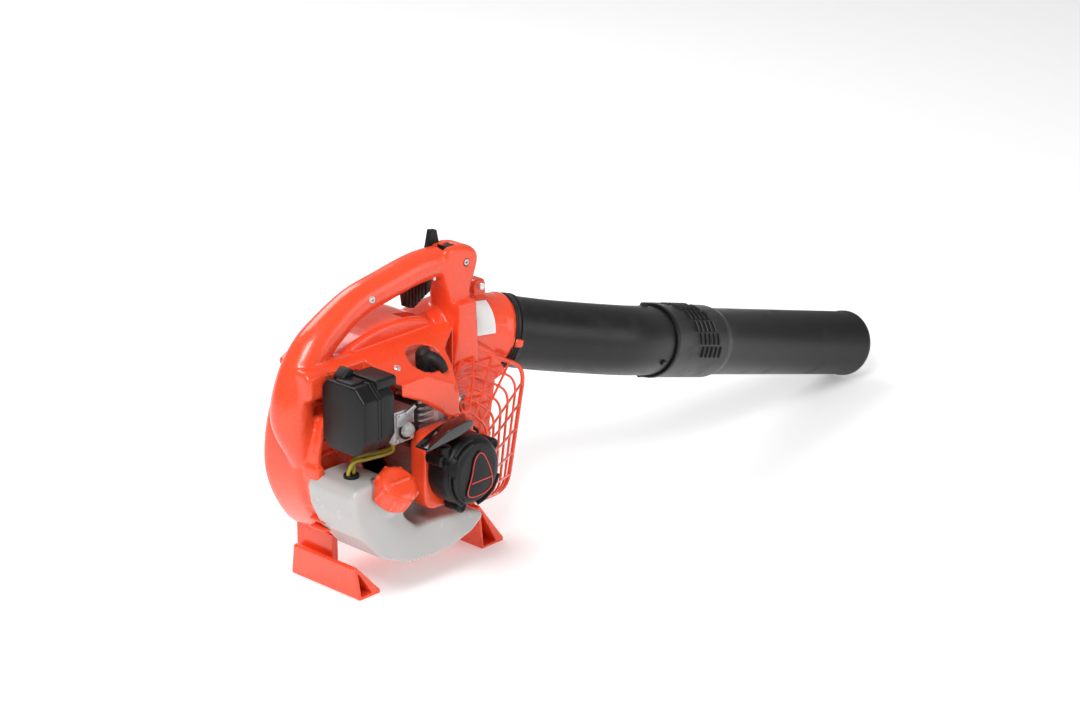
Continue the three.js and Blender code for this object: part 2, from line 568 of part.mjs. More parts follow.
  // Flywheel, ignition coil beside its rim, lead to the plug.
  const wheelFar = CRANKCASE_NEAR - 2;
  part("flywheel", cut(
    join(crankRing(10, FLYWHEEL_RADIUS, WHEEL_NEAR + 4, wheelFar - 4, 28),
      crankDisc(12, WHEEL_NEAR, wheelFar, 24)),
    crankDisc(SHAFT_RADIUS + GAP, WHEEL_NEAR - 9, wheelFar + 9, 20)), METAL);
  part("ignition_coil", join(
    box(COIL_X, COIL_X + 12, WHEEL_NEAR + 5, wheelFar - 4, CRANK_Z - 14, CRANK_Z - 6),
    box(COIL_X, COIL_X + 12, WHEEL_NEAR + 5, wheelFar - 4, CRANK_Z + 6, CRANK_Z + 14),
    box(COIL_X + 7, COIL_X + 19, WHEEL_NEAR + 3, wheelFar, CRANK_Z - 16, CRANK_Z + COIL_TOP),
    box(CRANK_X + CRANKCASE_RADIUS + GAP, COIL_X + 10, wheelFar - 1, wheelFar + 5, CRANK_Z - 6, CRANK_Z + 6),
  ), BLACK);
  part("ignition_lead", sweep(LEAD_PATH, LEAD_RADIUS, 16, 6), RUBBER);
}
// Orange ring housing round the flywheel, which carries the starter.
function shroudPlate(grow) {
  const reach = STARTER_RADIUS + 4 + grow;
  const plate = roundedRectangle(CRANK_X - reach, CRANK_X + reach, CRANK_Z - reach, CRANK_Z + reach,
    16 + grow);
  return alongY(plate, STARTER_BACK + GAP - grow, SHROUD_FAR + grow);
}
function flywheelShroud() {
  const near = STARTER_BACK + GAP;
  const coilRoom = box(CRANK_X + SHROUD_BORE - 6, CRANK_X + 90, near - 5, SHROUD_FAR + 5, CRANK_Z - 18,
    CRANK_Z + 60);
  const screwWays = STARTER_SCREWS.map((a) =>
    bar(onStarter(a, STARTER_RADIUS + 2, near - 1), onStarter(a, STARTER_RADIUS + 2, near + 9), 1.8 + GAP));
  const carbRoom = box(CARB_X, CARB_X + CARB_LENGTH + GAP, near - 1, SHROUD_FAR + 1, CARB_BOTTOM - GAP,
    CARB_BOTTOM + 60);
  part("flywheel_shroud", cut(shroudPlate(0), crankDisc(SHROUD_BORE, near - 1, SHROUD_FAR + 1, 28),
    coilRoom, carbRoom, ...screwWays), ORANGE);
}
const BOOT_END = V(CRANK_X + 5, ENGINE_Y - 17, CYLINDER_TOP_Z + 8);
const LEAD_PATH = [
  V(COIL_X + 13, WHEEL_NEAR + 9, CRANK_Z + COIL_TOP + GAP),
  V(COIL_X + 13, WHEEL_NEAR + 9, CRANK_Z + COIL_TOP + 6),
  V(COIL_X + 6, ENGINE_Y - 19, CRANK_Z + COIL_TOP + 16),
  V(CRANK_X + PORT_REACH + 3.5, ENGINE_Y - 14, EXHAUST_Z + 4),
  V(CRANK_X + PORT_REACH + 3, ENGINE_Y - 13, EXHAUST_Z + 38),
  V(CRANK_X + PORT_REACH, ENGINE_Y - 14, EXHAUST_Z + 48),
  V(BOOT_END.x + 16, BOOT_END.y + 1, BOOT_END.z - 4),
  BOOT_END.clone().add(V(3, -2.4, -2)),
];
engine();

// ---------- fan ----------
function fan() {
  const near = CASE_NEAR + WALL + 4;
  const far = CASE_FAR - WALL - 16;
  const blades = Array.from({ length: 10 }, (_, i) => {
    const turn = (2 * Math.PI * i) / 10;
    const at = (r, lag) => [CRANK_X + r * Math.cos(turn + lag), CRANK_Z + r * Math.sin(turn + lag)];
    const points = [at(50, 0), at(70, 0.12), at(IMPELLER_RADIUS - 1, 0.34), at(IMPELLER_RADIUS - 1, 0.37),
      at(70, 0.16), at(50, 0.05)];
    return alongY(outline(points), near, far + 1);
  });
  const plate = crankDisc(IMPELLER_RADIUS, far, far + 3, 36);
  const hub = turned([[0, 0], [14, 0], [24, far - near - 4], [24, far - near + 2], [0, far - near + 2]],
    V(CRANK_X, near, CRANK_Z), V(0, 1, 0), 24);
  part("impeller", cut(join(plate, hub, ...blades), crankDisc(SHAFT_RADIUS + GAP, near - 9, far + 9, 20)),
    BLACK);
  part("fan_nut", cut(crankDisc(10, far + 3 + GAP, far + 10, 6),
    crankDisc(SHAFT_RADIUS + GAP, far, far + 20, 20)), STEEL);
}
fan();

// ---------- starter ----------
function onStarter(degrees, radius, y) {
  const turn = THREE.MathUtils.degToRad(degrees);
  return V(CRANK_X + radius * Math.cos(turn), y, CRANK_Z + radius * Math.sin(turn));
}
function starter() {
  const axis = V(0, 1, 0);
  const depth = STARTER_BACK - STARTER_FACE;
  const cup = turned([[0, 0], [30, 0], [STARTER_RADIUS - 5, 5], [STARTER_RADIUS, 14],
    [STARTER_RADIUS, depth], [0, depth]],
    V(CRANK_X, STARTER_FACE, CRANK_Z), axis, ROUND_SIDES);
  const inside = turned([[0, 3], [29, 3], [STARTER_RADIUS - 8, 8], [STARTER_RADIUS - 3, 16],
    [STARTER_RADIUS - 3, depth + 1], [0, depth + 1]], V(CRANK_X, STARTER_FACE, CRANK_Z), axis);
  const bosses = STARTER_SCREWS.map((a) =>
    bar(onStarter(a, STARTER_RADIUS + 2, STARTER_FACE + 14), onStarter(a, STARTER_RADIUS + 2, STARTER_BACK),
      7.5, 14));
  const bossHoles = STARTER_SCREWS.map((a) =>
    bar(onStarter(a, STARTER_RADIUS + 2, STARTER_FACE + 10),
      onStarter(a, STARTER_RADIUS + 2, STARTER_BACK - 8), 4.8));
  const screwWays = STARTER_SCREWS.map((a) =>
    bar(onStarter(a, STARTER_RADIUS + 2, STARTER_BACK - 9),
      onStarter(a, STARTER_RADIUS + 2, STARTER_BACK + 1), 2.2));
  const ropeBoss = bar(V(ROPE_X, ROPE_Y, CRANK_Z + 20), V(ROPE_X, ROPE_Y, BOSS_TOP), 7, 16);
  const post = bar(V(CRANK_X, STARTER_FACE + 1, CRANK_Z), V(CRANK_X, REEL_FAR + 1, CRANK_Z), 5, 20);
  const ropeWay = bar(V(ROPE_X, ROPE_Y, CRANK_Z - 8), V(ROPE_X, ROPE_Y, BOSS_TOP + 1), 2.6);
  part("starter_housing", cut(join(cut(join(cup, ropeBoss, ...bosses), inside), post), ropeWay,
    ...bossHoles, ...screwWays), BLACK);
  STARTER_SCREWS.forEach((a, i) => {
    const seat = onStarter(a, STARTER_RADIUS + 2, STARTER_BACK - 8 - GAP);
    const screw = join(bar(seat.clone().setY(STARTER_BACK - 13), seat, 4),
      bar(seat, seat.clone().setY(STARTER_BACK + 8), 1.8));
    part(`starter_screw_${i + 1}`, screw, STEEL);
  });
  const badge = outline([[CRANK_X - 19, CRANK_Z - 24], [CRANK_X + 2, CRANK_Z - 29],
    [CRANK_X + 22, CRANK_Z - 22],
    [CRANK_X + 18, CRANK_Z + 5], [CRANK_X + 6, CRANK_Z + 25], [CRANK_X - 9, CRANK_Z + 4]]);
  part("starter_badge", alongY(badge, STARTER_FACE - GAP - 1.2, STARTER_FACE - GAP), BLACK);

  const groove = 3.4;
  const reel = join(
    crankDisc(REEL_RADIUS, REEL_NEAR, REEL_NEAR + groove),
    crankDisc(22, REEL_NEAR, REEL_FAR),
    crankDisc(REEL_RADIUS, REEL_FAR - groove, REEL_FAR),
  );
  part("rope_reel", cut(reel, crankDisc(5 + GAP, REEL_NEAR - 1, REEL_FAR + 1, 20)), BLACK);
  part("wound_rope", crankRing(22 + GAP, ROPE_COIL, REEL_NEAR + groove + GAP, REEL_FAR - groove - GAP),
    BLACK);
  part("recoil_spring", crankRing(8, 27, STARTER_FACE + 3.5 + GAP, REEL_NEAR - GAP), STEEL);
  const dogs = [30, 150, 270].map((a) => strut(onStarter(a, 12, REEL_FAR + 3),
    onStarter(a, 24, REEL_FAR + 3), 4));
  part("pawl_carrier", cut(join(crankDisc(14, REEL_FAR + 1, REEL_FAR + 6, 24), ...dogs),
    crankDisc(SHAFT_RADIUS + GAP, REEL_FAR - 9, REEL_FAR + 19, 20)), STEEL);

  part("starter_rope", bar(V(ROPE_X, ROPE_Y, CRANK_Z), V(ROPE_X, ROPE_Y, PULL_BOTTOM + 5), ROPE_RADIUS, 10),
    BLACK);
  const grip = outline([[ROPE_X - 34, PULL_BOTTOM - 2], [ROPE_X - 10, PULL_BOTTOM + 1],
    [ROPE_X + 14, PULL_BOTTOM + 3],
    [ROPE_X + 33, PULL_BOTTOM + 9], [ROPE_X + 32, PULL_BOTTOM + 17], [ROPE_X + 4, PULL_BOTTOM + 15],
    [ROPE_X - 20, PULL_BOTTOM + 8], [ROPE_X - 35, PULL_BOTTOM + 2]]);
  part("pull_handle", cut(alongY(grip, ROPE_Y - 10, ROPE_Y + 10, 1.5),
    bar(V(ROPE_X, ROPE_Y, PULL_BOTTOM - 5), V(ROPE_X, ROPE_Y, PULL_BOTTOM + 5 + GAP), ROPE_RADIUS + GAP)),
      GLOSS_BLACK);
}
starter();
flywheelShroud();

// ---------- fuel ----------
const GROMMET = V(-29, -62, TANK_TOP);
const CAP_AXIS = V(0, -0.62, 0.78).normalize();
const CAP_SEAT = V(-4, TANK_NEAR + 2, TANK_TOP - 22);
function fuel() {
  const skin = outline([[TANK_LEFT, TANK_TOP - 8], [TANK_LEFT + 6, TANK_TOP], [4, TANK_TOP],
    [18, TANK_TOP - 14],
    [22, 104], [38, 86], [80, 86], [118, 82], [141, 75], [148, 66], [128, 52], [98, 43], [60, 41], [22, 46],
    [-16, 64], [-42, 94], [-56, 124]]);
  const bore = outline([[TANK_LEFT + 4, TANK_TOP - 10], [TANK_LEFT + 8, TANK_TOP - 3], [3, TANK_TOP - 3],
    [15, TANK_TOP - 16], [18, 102], [36, 82], [80, 82], [116, 78], [138, 72], [143, 66], [126, 56], [97, 47],
    [60, 45], [23, 50], [-13, 67], [-38, 96], [-52, 125]]);
  const neckTop = CAP_SEAT.clone().addScaledVector(CAP_AXIS, 15);
  const neckFoot = CAP_SEAT.clone().addScaledVector(CAP_AXIS, -14);
  const hollow = join(alongY(bore, TANK_NEAR + 3, TANK_FAR - 3, TANK_ROUND - 3),
    bar(neckFoot, neckTop.clone().addScaledVector(CAP_AXIS, 1), NECK_RADIUS - 3, 28));
  const grommetHole = bar(GROMMET.clone().setZ(TANK_TOP - 12), GROMMET.clone().setZ(TANK_TOP + 2), 7 + GAP,
    16);
  const capRoom = bar(CAP_SEAT.clone().addScaledVector(CAP_AXIS, 4 - GAP),
    CAP_SEAT.clone().addScaledVector(CAP_AXIS, 40),
    CAP_RADIUS + 2, 28);
  const block = join(cut(alongY(skin, TANK_NEAR, TANK_FAR, TANK_ROUND), capRoom),
    bar(neckFoot, neckTop, NECK_RADIUS, 28));
  part("fuel_tank", cut(fits(block), hollow, grommetHole), [0xd9d8d2, 0.4, 0]);
  const up = V(0, 0, 1);
  part("tank_grommet", cut(turned([[0, -6], [7, -6], [7, GAP], [9, GAP], [9, 4], [0, 4]], GROMMET, up, 20),
    ...FUEL_WAYS.map((dx) => bar(GROMMET.clone().add(V(dx, 0, -9)), GROMMET.clone().add(V(dx, 0, 9)),
      2 + 3 * GAP))), RUBBER);
  const flutes = Array.from({ length: 8 }, (_, i) => {
    const turn = (2 * Math.PI * (i + 0.5)) / 8;
    const frame = aim(CAP_SEAT, CAP_AXIS);
    const at = (h) => V((CAP_RADIUS + 1) * Math.cos(turn), (CAP_RADIUS + 1) * Math.sin(turn),
      h).applyMatrix4(frame);
    return bar(at(2), at(22), 3.2, 8);
  });
  const capBody = turned([[0, 4], [CAP_RADIUS, 4], [CAP_RADIUS, 25], [CAP_RADIUS - 5, 30], [0, 31]],
    CAP_SEAT, CAP_AXIS);
  part("fuel_cap", cut(capBody, bar(CAP_SEAT.clone().addScaledVector(CAP_AXIS, -2),
    CAP_SEAT.clone().addScaledVector(CAP_AXIS, 15 + GAP), NECK_RADIUS + GAP, 28), ...flutes), ORANGE);
  part("fuel_filter", turned([[0, 0], [6, 0], [6, 18], [0, 18]], V(-20, -62, TANK_TOP - 74), V(0, 0, 1),
    12), METAL);
  part("fuel_line", sweep([
    V(-20, -62, TANK_TOP - 55), GROMMET.clone().add(V(FUEL_WAYS[0], 0, -14)),
      GROMMET.clone().add(V(FUEL_WAYS[0], 0, -7)),
    GROMMET.clone().add(V(FUEL_WAYS[0], 0, 7)),
    GROMMET.clone().add(V(2, -4, 19)), GROMMET.clone().add(V(18, -8, 19)),
    V(CARB_X + 8, CARB_NEAR + 14, CARB_BOTTOM - 14), V(CARB_X + 8, CARB_NEAR + 14, CARB_BOTTOM - GAP),
  ], 2, 22, 6), [0xb8a418, 0.4, 0]);
  part("return_line", sweep([
    GROMMET.clone().add(V(FUEL_WAYS[1], 0, -12)), GROMMET.clone().add(V(FUEL_WAYS[1], 0, 0)),
    GROMMET.clone().add(V(FUEL_WAYS[1], 0, 9)), GROMMET.clone().add(V(14, 6, 18)),
    V(CARB_X + 17, CARB_NEAR + 26, CARB_BOTTOM - 16), V(CARB_X + 17, CARB_NEAR + 26, CARB_BOTTOM - GAP),
  ], 2, 16, 6), [0xb8a418, 0.4, 0]);
}
fuel();

// ---------- air cleaner and carburettor ----------
function intake() {
  const shell = roundedRectangle(BOX_NEAR, BOX_FAR, BOX_BOTTOM, BOX_TOP, BOX_ROUND);
  const inner = roundedRectangle(BOX_NEAR + WALL, BOX_FAR - WALL, BOX_BOTTOM + WALL, BOX_TOP - WALL,
    BOX_ROUND - WALL);
  const seam = BOX_RIGHT - 16;
  part("air_cleaner_cover", cut(alongX(shell, BOX_LEFT, seam, 4).intersect(box(-400, seam - 4, -400, 400, 0,
    400)),
    alongX(inner, BOX_LEFT + WALL, seam + 9, 2)), BLACK);
  const way = bar(V(BOX_LEFT + 10, ENGINE_Y, PORT_Z), V(CRANK_X, ENGINE_Y, PORT_Z), 7, 16);
  const tray = join(
    cut(alongX(shell, seam - 4 + GAP, BOX_RIGHT, 2), alongX(inner, seam - 9, BOX_RIGHT - WALL, 1)),
    alongX(roundedRectangle(BOX_NEAR + 8, BOX_FAR - 26, BOX_TOP - 8, BOX_TOP + 3, 2), seam - 3,
      BOX_RIGHT + 5),
  );
  part("air_cleaner_base", cut(tray, way), BLACK);
  const pad = roundedRectangle(BOX_NEAR + 9, BOX_FAR - 9, BOX_BOTTOM + 9, BOX_TOP - 9, 6);
  part("air_filter", alongX(pad, seam - 14, seam - 4, 3), [0x3a3a36, 0.95, 0]);
  const latch = outline([[seam - 22, BOX_TOP + GAP], [seam - 6, BOX_TOP + GAP], [seam - 6, BOX_TOP + 10],
    [seam - 12, BOX_TOP + 12], [seam - 22, BOX_TOP + 4]]);
  part("cover_latch", alongY(latch, BOX_FAR - 28, BOX_FAR - 12), BLACK);

  const carbFar = ENGINE_Y + 14;
  const body = join(
    box(CARB_X, CARB_X + CARB_LENGTH, CARB_NEAR, carbFar, CARB_BOTTOM, CARB_BOTTOM + 38),
    bar(V(BOX_RIGHT + GAP, ENGINE_Y, PORT_Z), V(CARB_X + 2, ENGINE_Y, PORT_Z), 11, 20),
  );
  const bulb = V(CARB_X + 18, CARB_NEAR, CARB_BOTTOM + 14);
  const choke = V(CARB_X - 9, CARB_NEAR + 6, CARB_BOTTOM + 32);
  part("carburettor", cut(join(body, bar(choke.clone().setX(CARB_X - 11), choke.clone().setX(CARB_X + 2),
    2)), way,
    bar(bulb.clone().add(V(0, -1, 0)), bulb.clone().add(V(0, 10, 0)), 9 + GAP, 16)), METAL);
  part("purge_bulb", turned([[0, 5], [9, 5], [9, -2], [7.5, -6], [4, -9], [0, -10]], bulb, V(0, 1, 0), 20),
    [0xcfd0cc, 0.1, 0]);
  part("choke_lever", cut(
    alongX(outline([[choke.y - 4, choke.z + 5], [choke.y + 4, choke.z + 5], [choke.y + 3, choke.z - 22],
      [choke.y - 7, choke.z - 24], [choke.y - 7, choke.z - 16], [choke.y - 3, choke.z - 12]]),
        choke.x - 1.4, choke.x + 1.4),
    bar(choke.clone().setX(0), choke.clone().setX(60), 2 + GAP)), ORANGE);
  part("insulator_block", cut(box(CARB_X + CARB_LENGTH + GAP, CRANK_X - PORT_REACH - GAP, ENGINE_Y - 23,
    ENGINE_Y + 18,
    PORT_Z - 34, PORT_Z + 14), way), BLACK);
}
intake();

// ---------- engine hood: a sloping shell from the fan case's shoulder to the starter ----------
function hood() {
  const top = CRANK_Z + 133;
  const far = CASE_NEAR - GAP;
  const slope = (drop) => outline([[far, top - 6 - drop], [far - 10, top - drop], [far - 38, top - 9 - drop],
    [HOOD_NEAR + 18 + drop, top - 26 - drop], [HOOD_NEAR + drop, top - 52],
      [HOOD_NEAR + drop, HOOD_BOTTOM + 4],
    [HOOD_NEAR + 4, HOOD_BOTTOM], [far, HOOD_BOTTOM]]);
  const outer = join(
    alongX(slope(0), HOOD_STEP, HOOD_RIGHT, 0),
    alongX(slope(0), HOOD_LEFT, HOOD_STEP + 1, 0).intersect(box(-400, 400, BOX_FAR + 3 * GAP, 0,
      BOX_TOP - 26, 500)),
  );
  const inner = join(
    alongX(slope(WALL), HOOD_STEP + WALL, HOOD_RIGHT - WALL, 0),
    alongX(slope(WALL), HOOD_LEFT + WALL, HOOD_STEP + 9,
      0).intersect(box(-400, 400, BOX_FAR + 3 * GAP + WALL, 9, 0, 500)),
    box(HOOD_STEP + WALL, HOOD_RIGHT - WALL, HOOD_NEAR + WALL, far + 1, HOOD_BOTTOM - 12, HOOD_BOTTOM + 8),
    box(HOOD_LEFT + WALL, HOOD_STEP + 9, BOX_FAR + WALL + 1, far + 1, 0, top - 20),
  );
  // The front right corner is cut away along the edge of the intake grille.
  const edge = new THREE.Shape([
    new THREE.Vector2(GRILLE_OUTER[0][0] - 10, CASE_NEAR - 8),
    new THREE.Vector2(GRILLE_MIDDLE[0][0] - 9, (GRILLE_NEAR + GRILLE_FAR) / 2),
    new THREE.Vector2(GRILLE_INNER[0][0] - 8, HOOD_NEAR - 2),
    new THREE.Vector2(400, HOOD_NEAR - 2),
    new THREE.Vector2(400, CASE_NEAR - 8),
  ]);
  const plugWay = turned([[0, 0], [22, 0], [22, 70], [0, 70]],
    V(CRANK_X - 2, ENGINE_Y + 3, CYLINDER_TOP_Z - 4), V(0, -0.3, 1), 20);
  // Below this line the hood is open towards the carburettor.
  const mouth = alongY(outline([[-300, 0], [-300, CRANK_Z + 108], [HOOD_STEP + 8, CRANK_Z + 108],
    [CRANK_X - 28, CRANK_Z + 88], [CRANK_X, HOOD_BOTTOM + 4], [CRANK_X, 0]]), -300, CASE_NEAR - 8);
  const mufflerRoom = box(CRANK_X + PORT_REACH + 3, CRANK_X + PORT_REACH + 45, ENGINE_Y - 13, ENGINE_Y + 33,
    CRANK_Z, EXHAUST_Z + 13);
  const shell = cut(outer, inner, alongZ(edge, 0, 400), plugWay, mouth, mufflerRoom);
  part("engine_hood", cut(shell, caseEnvelope(GAP), handleEnvelope(GAP)), ORANGE);
}
// What the handle takes up, grown by a clearance.
function handleEnvelope(grow) {
  return join(
    sweep(HANDLE_PATH, HANDLE_RADIUS + grow, 14, 12),
    sweep(HANDLE_PATH.slice(0, 4), HANDLE_ROOT_RADIUS + grow, 6, 12),
    alongY(postOutline(-grow), HANDLE_Y - HANDLE_RADIUS - grow, HANDLE_Y + HANDLE_RADIUS + grow),
    postFoot(grow),
  );
}

// ---------- intake grille: loops and spokes between the fan case and the starter ----------
// Left end, kink, top corner, bottom corner, bottom end: [x, z] of the outer, middle and inner loop.
function grille() {
  const rings = [GRILLE_OUTER, GRILLE_MIDDLE, GRILLE_INNER];
  const at = (corner, t) => {
    const ringNumber = t < 0.5 ? 0 : 1;
    const share = 2 * t - ringNumber;
    const [x0, z0] = rings[ringNumber][corner];
    const [x1, z1] = rings[ringNumber + 1][corner];
    return V(x0 + (x1 - x0) * share, GRILLE_FAR + (GRILLE_NEAR - GRILLE_FAR) * t, z0 + (z1 - z0) * share);
  };
  const between = (corner, share, t) => at(corner, t).lerp(at(corner + 1, t), share);
  const loopPoints = (t) => [at(0, t), at(1, t), between(1, 0.85, t), between(2, 0.1, t), at(3, t),
    at(4, t)];
  const bars = [];
  for (let i = 0; i < GRILLE_LOOPS; i += 1) {
    const points = loopPoints(i / (GRILLE_LOOPS - 1));
    const width = i === 0 ? 2 * GRILLE_BAR : GRILLE_BAR;
    for (let k = 0; k + 1 < points.length; k += 1) bars.push(strut(points[k], points[k + 1], width));
  }
  const spoke = (point, width = GRILLE_BAR) =>
    join(strut(point(0), point(0.5), width), strut(point(0.5), point(1), width));
  bars.push(
    spoke((t) => at(0, t), 2 * GRILLE_BAR),
    spoke((t) => at(1, t)),
    spoke((t) => between(1, 0.5, t)),
    spoke((t) => between(1, 0.9, t).lerp(between(2, 0.06, t), 0.5)),
    spoke((t) => between(2, 0.42, t)),
    spoke((t) => between(2, 0.7, t)),
    spoke((t) => at(3, t)),
    spoke((t) => at(4, t), 2 * GRILLE_BAR),
    // Foot of the cage on the fan case.
    strut(at(4, 0), at(4, 0).add(V(-14, 3, 9)), 2 * GRILLE_BAR),
  );
  const leadRoom = sweep(LEAD_PATH, LEAD_RADIUS + 1, 16, 8);
  const starterRoom = crankDisc(STARTER_RADIUS + 10, STARTER_FACE, STARTER_BACK + 2 * GAP);
  const footRoom = alongY(outline([[FRONT_FOOT_X - 20, -10], [FRONT_FOOT_X - 20, 62], [FRONT_FOOT_X - 6, 62],
    [FRONT_FOOT_X + 40, 6], [FRONT_FOOT_X + 40, -10]]), -80, 80);
  part("intake_grille", cut(join(...bars), caseEnvelope(GAP), shroudPlate(GAP), starterRoom, footRoom,
    postFoot(GAP),
    leadRoom), ORANGE);
}
hood();
grille();

// ---------- pipes ----------
const ELBOW_END = V(RING_CENTRE.x + 224, SEAM_Y - 45, RING_CENTRE.z - 63);
const PIPE_DIRECTION = V(0.958, 0.046, -0.28).normalize();
function pipes() {
  const start = RING_CENTRE.clone().addScaledVector(OUTLET, 2 + GAP);
  part("seal_ring", ring(DUCT_RADIUS - WALL, RING_RADIUS, 0, 7, start, OUTLET), RUBBER);
  const from = start.clone().addScaledVector(OUTLET, 7 + GAP);
  const straightIn = (d) => ELBOW_END.clone().addScaledVector(PIPE_DIRECTION, d);
  const route = [from, from.clone().addScaledVector(OUTLET, 60), straightIn(-70), straightIn(0),
    straightIn(30)];
  const longer = (d) => [from.clone().addScaledVector(OUTLET, -d), ...route.slice(0, -1),
    straightIn(30 + d)];
  part("pipe_elbow", cut(
    join(sweep(route, ELBOW_RADIUS, 9, ROUND_SIDES), ...PEG_TURNS.map((a) => peg(straightIn(-16), a))),
    sweep(longer(2), ELBOW_RADIUS - PIPE_WALL, 10, ROUND_SIDES)), BLACK);
  const bore = ELBOW_RADIUS + 2 * GAP;
  const collar = bore + PIPE_WALL;
  const narrow = PIPE_RADIUS - PIPE_WALL;
  part("pipe_straight", turned([
    [bore, 0], [collar, 0], [collar, COLLAR_LENGTH - 8], [PIPE_RADIUS, COLLAR_LENGTH],
      [PIPE_RADIUS, PIPE_LENGTH - 8],
    [LIP_RADIUS, PIPE_LENGTH - 6], [LIP_RADIUS, PIPE_LENGTH], [narrow, PIPE_LENGTH], [narrow, 42],
      [bore, 36], [bore, 0],
  ], ELBOW_END, PIPE_DIRECTION), BLACK);
}
function peg(centre, degrees) {
  const turn = THREE.MathUtils.degToRad(degrees);
  const frame = aim(centre, PIPE_DIRECTION);
  const at = (r) => V(r * Math.cos(turn), r * Math.sin(turn), 0).applyMatrix4(frame);
  return bar(at(ELBOW_RADIUS - 1), at(ELBOW_RADIUS + 4), 4);
}
pipes();

// ---------- clamp screw ----------
function clampScrew() {
  const bolt = V(LUG_X, SEAM_Y, LUG_Z);
  part("clamp_screw", join(bar(bolt.clone().setY(SEAM_Y - 12), bolt.clone().setY(SEAM_Y - 7 - GAP), 4),
    bar(bolt.clone().setY(SEAM_Y - 8), bolt.clone().setY(SEAM_Y + 11), 2.2)), STEEL);
}
clampScrew();

export default group;
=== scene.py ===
# %% [markdown]
# # A hand-held petrol leaf blower
# The object is a moulded orange fan case with a carry handle, a small engine bolted to one side, a
# fuel tank under it and a long black pipe. The CAD model fixes every place and every joint, so the
# looks are built around it in the same frame, in metres.

# %% The fixed frame
import bpy
import json
import math
from mathutils import Matrix, Vector


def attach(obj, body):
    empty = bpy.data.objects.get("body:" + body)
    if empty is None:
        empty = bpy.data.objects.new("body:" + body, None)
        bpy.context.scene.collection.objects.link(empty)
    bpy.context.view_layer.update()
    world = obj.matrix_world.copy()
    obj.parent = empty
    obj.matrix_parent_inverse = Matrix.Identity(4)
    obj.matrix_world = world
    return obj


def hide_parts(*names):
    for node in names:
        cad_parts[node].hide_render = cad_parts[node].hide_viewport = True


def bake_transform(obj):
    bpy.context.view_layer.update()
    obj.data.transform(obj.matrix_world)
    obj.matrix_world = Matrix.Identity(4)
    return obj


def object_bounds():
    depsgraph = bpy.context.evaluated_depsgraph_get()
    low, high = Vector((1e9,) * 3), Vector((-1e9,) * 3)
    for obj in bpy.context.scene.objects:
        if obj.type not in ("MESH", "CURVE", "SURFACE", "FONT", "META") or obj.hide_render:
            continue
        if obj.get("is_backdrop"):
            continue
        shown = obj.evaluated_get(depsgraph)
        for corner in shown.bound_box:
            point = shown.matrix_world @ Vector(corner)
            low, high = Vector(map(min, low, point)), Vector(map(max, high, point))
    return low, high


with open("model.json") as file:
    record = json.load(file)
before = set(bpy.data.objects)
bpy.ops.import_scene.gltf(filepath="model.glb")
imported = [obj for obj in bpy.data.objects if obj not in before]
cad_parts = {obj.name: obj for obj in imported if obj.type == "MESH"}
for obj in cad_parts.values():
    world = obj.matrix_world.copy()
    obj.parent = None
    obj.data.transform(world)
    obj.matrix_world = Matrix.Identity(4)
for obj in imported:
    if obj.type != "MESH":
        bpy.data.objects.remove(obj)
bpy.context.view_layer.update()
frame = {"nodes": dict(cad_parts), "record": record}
MM = 0.001

# %% [markdown]
# ## Camera
# A long lens from the engine side keeps the pipe's two edges nearly parallel. The camera comes first,
# so that each later piece can be judged in the same view.

# %% Camera
def place_camera(location, direction, lens):
    bpy.ops.object.select_all(action="DESELECT")
    bpy.ops.object.camera_add(location=location)
    camera = bpy.context.object
    camera.rotation_euler = Vector(direction).to_track_quat("-Z", "Y").to_euler()
    camera.data.lens = lens
    camera.data.sensor_width = 36
    camera.data.clip_end = 30
    bpy.context.scene.camera = camera
    return camera


LOOK = Vector((0.67705, 0.64351, -0.35687))
place_camera((-2.26627, -2.47864, 1.55301), LOOK, 106.667)

# %% [markdown]
# ## Small tools
# The same few moves make nearly every moulded piece: push an outline into a slab, turn a profile, run
# a tube along a path, join pieces into one skin, and soften that skin. Each is written once here.

# %% [markdown]
# ### Selecting and applying
# Blender's operators work on what is selected, and the CAD pieces come in selected. Every step here
# first selects only its own piece, so that a modifier or an edit can't touch anything else. The two
# short edit steps, merging points and turning faces outwards, are used after nearly every shape.

# %% Selecting and applying
def select_only(*objects):
    bpy.ops.object.select_all(action="DESELECT")
    for each in objects:
        each.select_set(True)
    bpy.context.view_layer.objects.active = objects[0]


def apply_modifier(piece, kind, **settings):
    select_only(piece)
    modifier = piece.modifiers.new(kind.lower(), kind)
    for key, value in settings.items():
        setattr(modifier, key, value)
    bpy.ops.object.modifier_apply(modifier=modifier.name)
    return piece


def in_edit_mode(piece, *steps):
    select_only(piece)
    bpy.ops.object.mode_set(mode="EDIT")
    bpy.ops.mesh.select_all(action="SELECT")
    for step in steps:
        step()
    bpy.ops.object.mode_set(mode="OBJECT")
    return piece


def settle(piece):
    select_only(piece)
    bpy.ops.object.transform_apply(location=True, rotation=True, scale=True)
    return piece


def merged():
    bpy.ops.mesh.remove_doubles(threshold=1e-5)


def outward():
    bpy.ops.mesh.normals_make_consistent(inside=False)


# %% [markdown]
# ### Slabs
# Cases, covers, levers and badges are flat outlines with a depth. The outline is a filled circle
# whose points are moved to their places, extruded once and bevelled by angle. That is quicker to
# adjust than a box with many cuts, and the bevel gives the rounded edge a mould leaves.

# %% Slabs: an outline pushed along one axis
def at_axis(a, b, c, along):
    """Turns outline coordinates (a, b) and a depth c, all in millimetres, into a point."""
    places = {"y": (a, c, b), "x": (c, a, b), "z": (a, b, c)}
    return Vector(places[along]) * MM


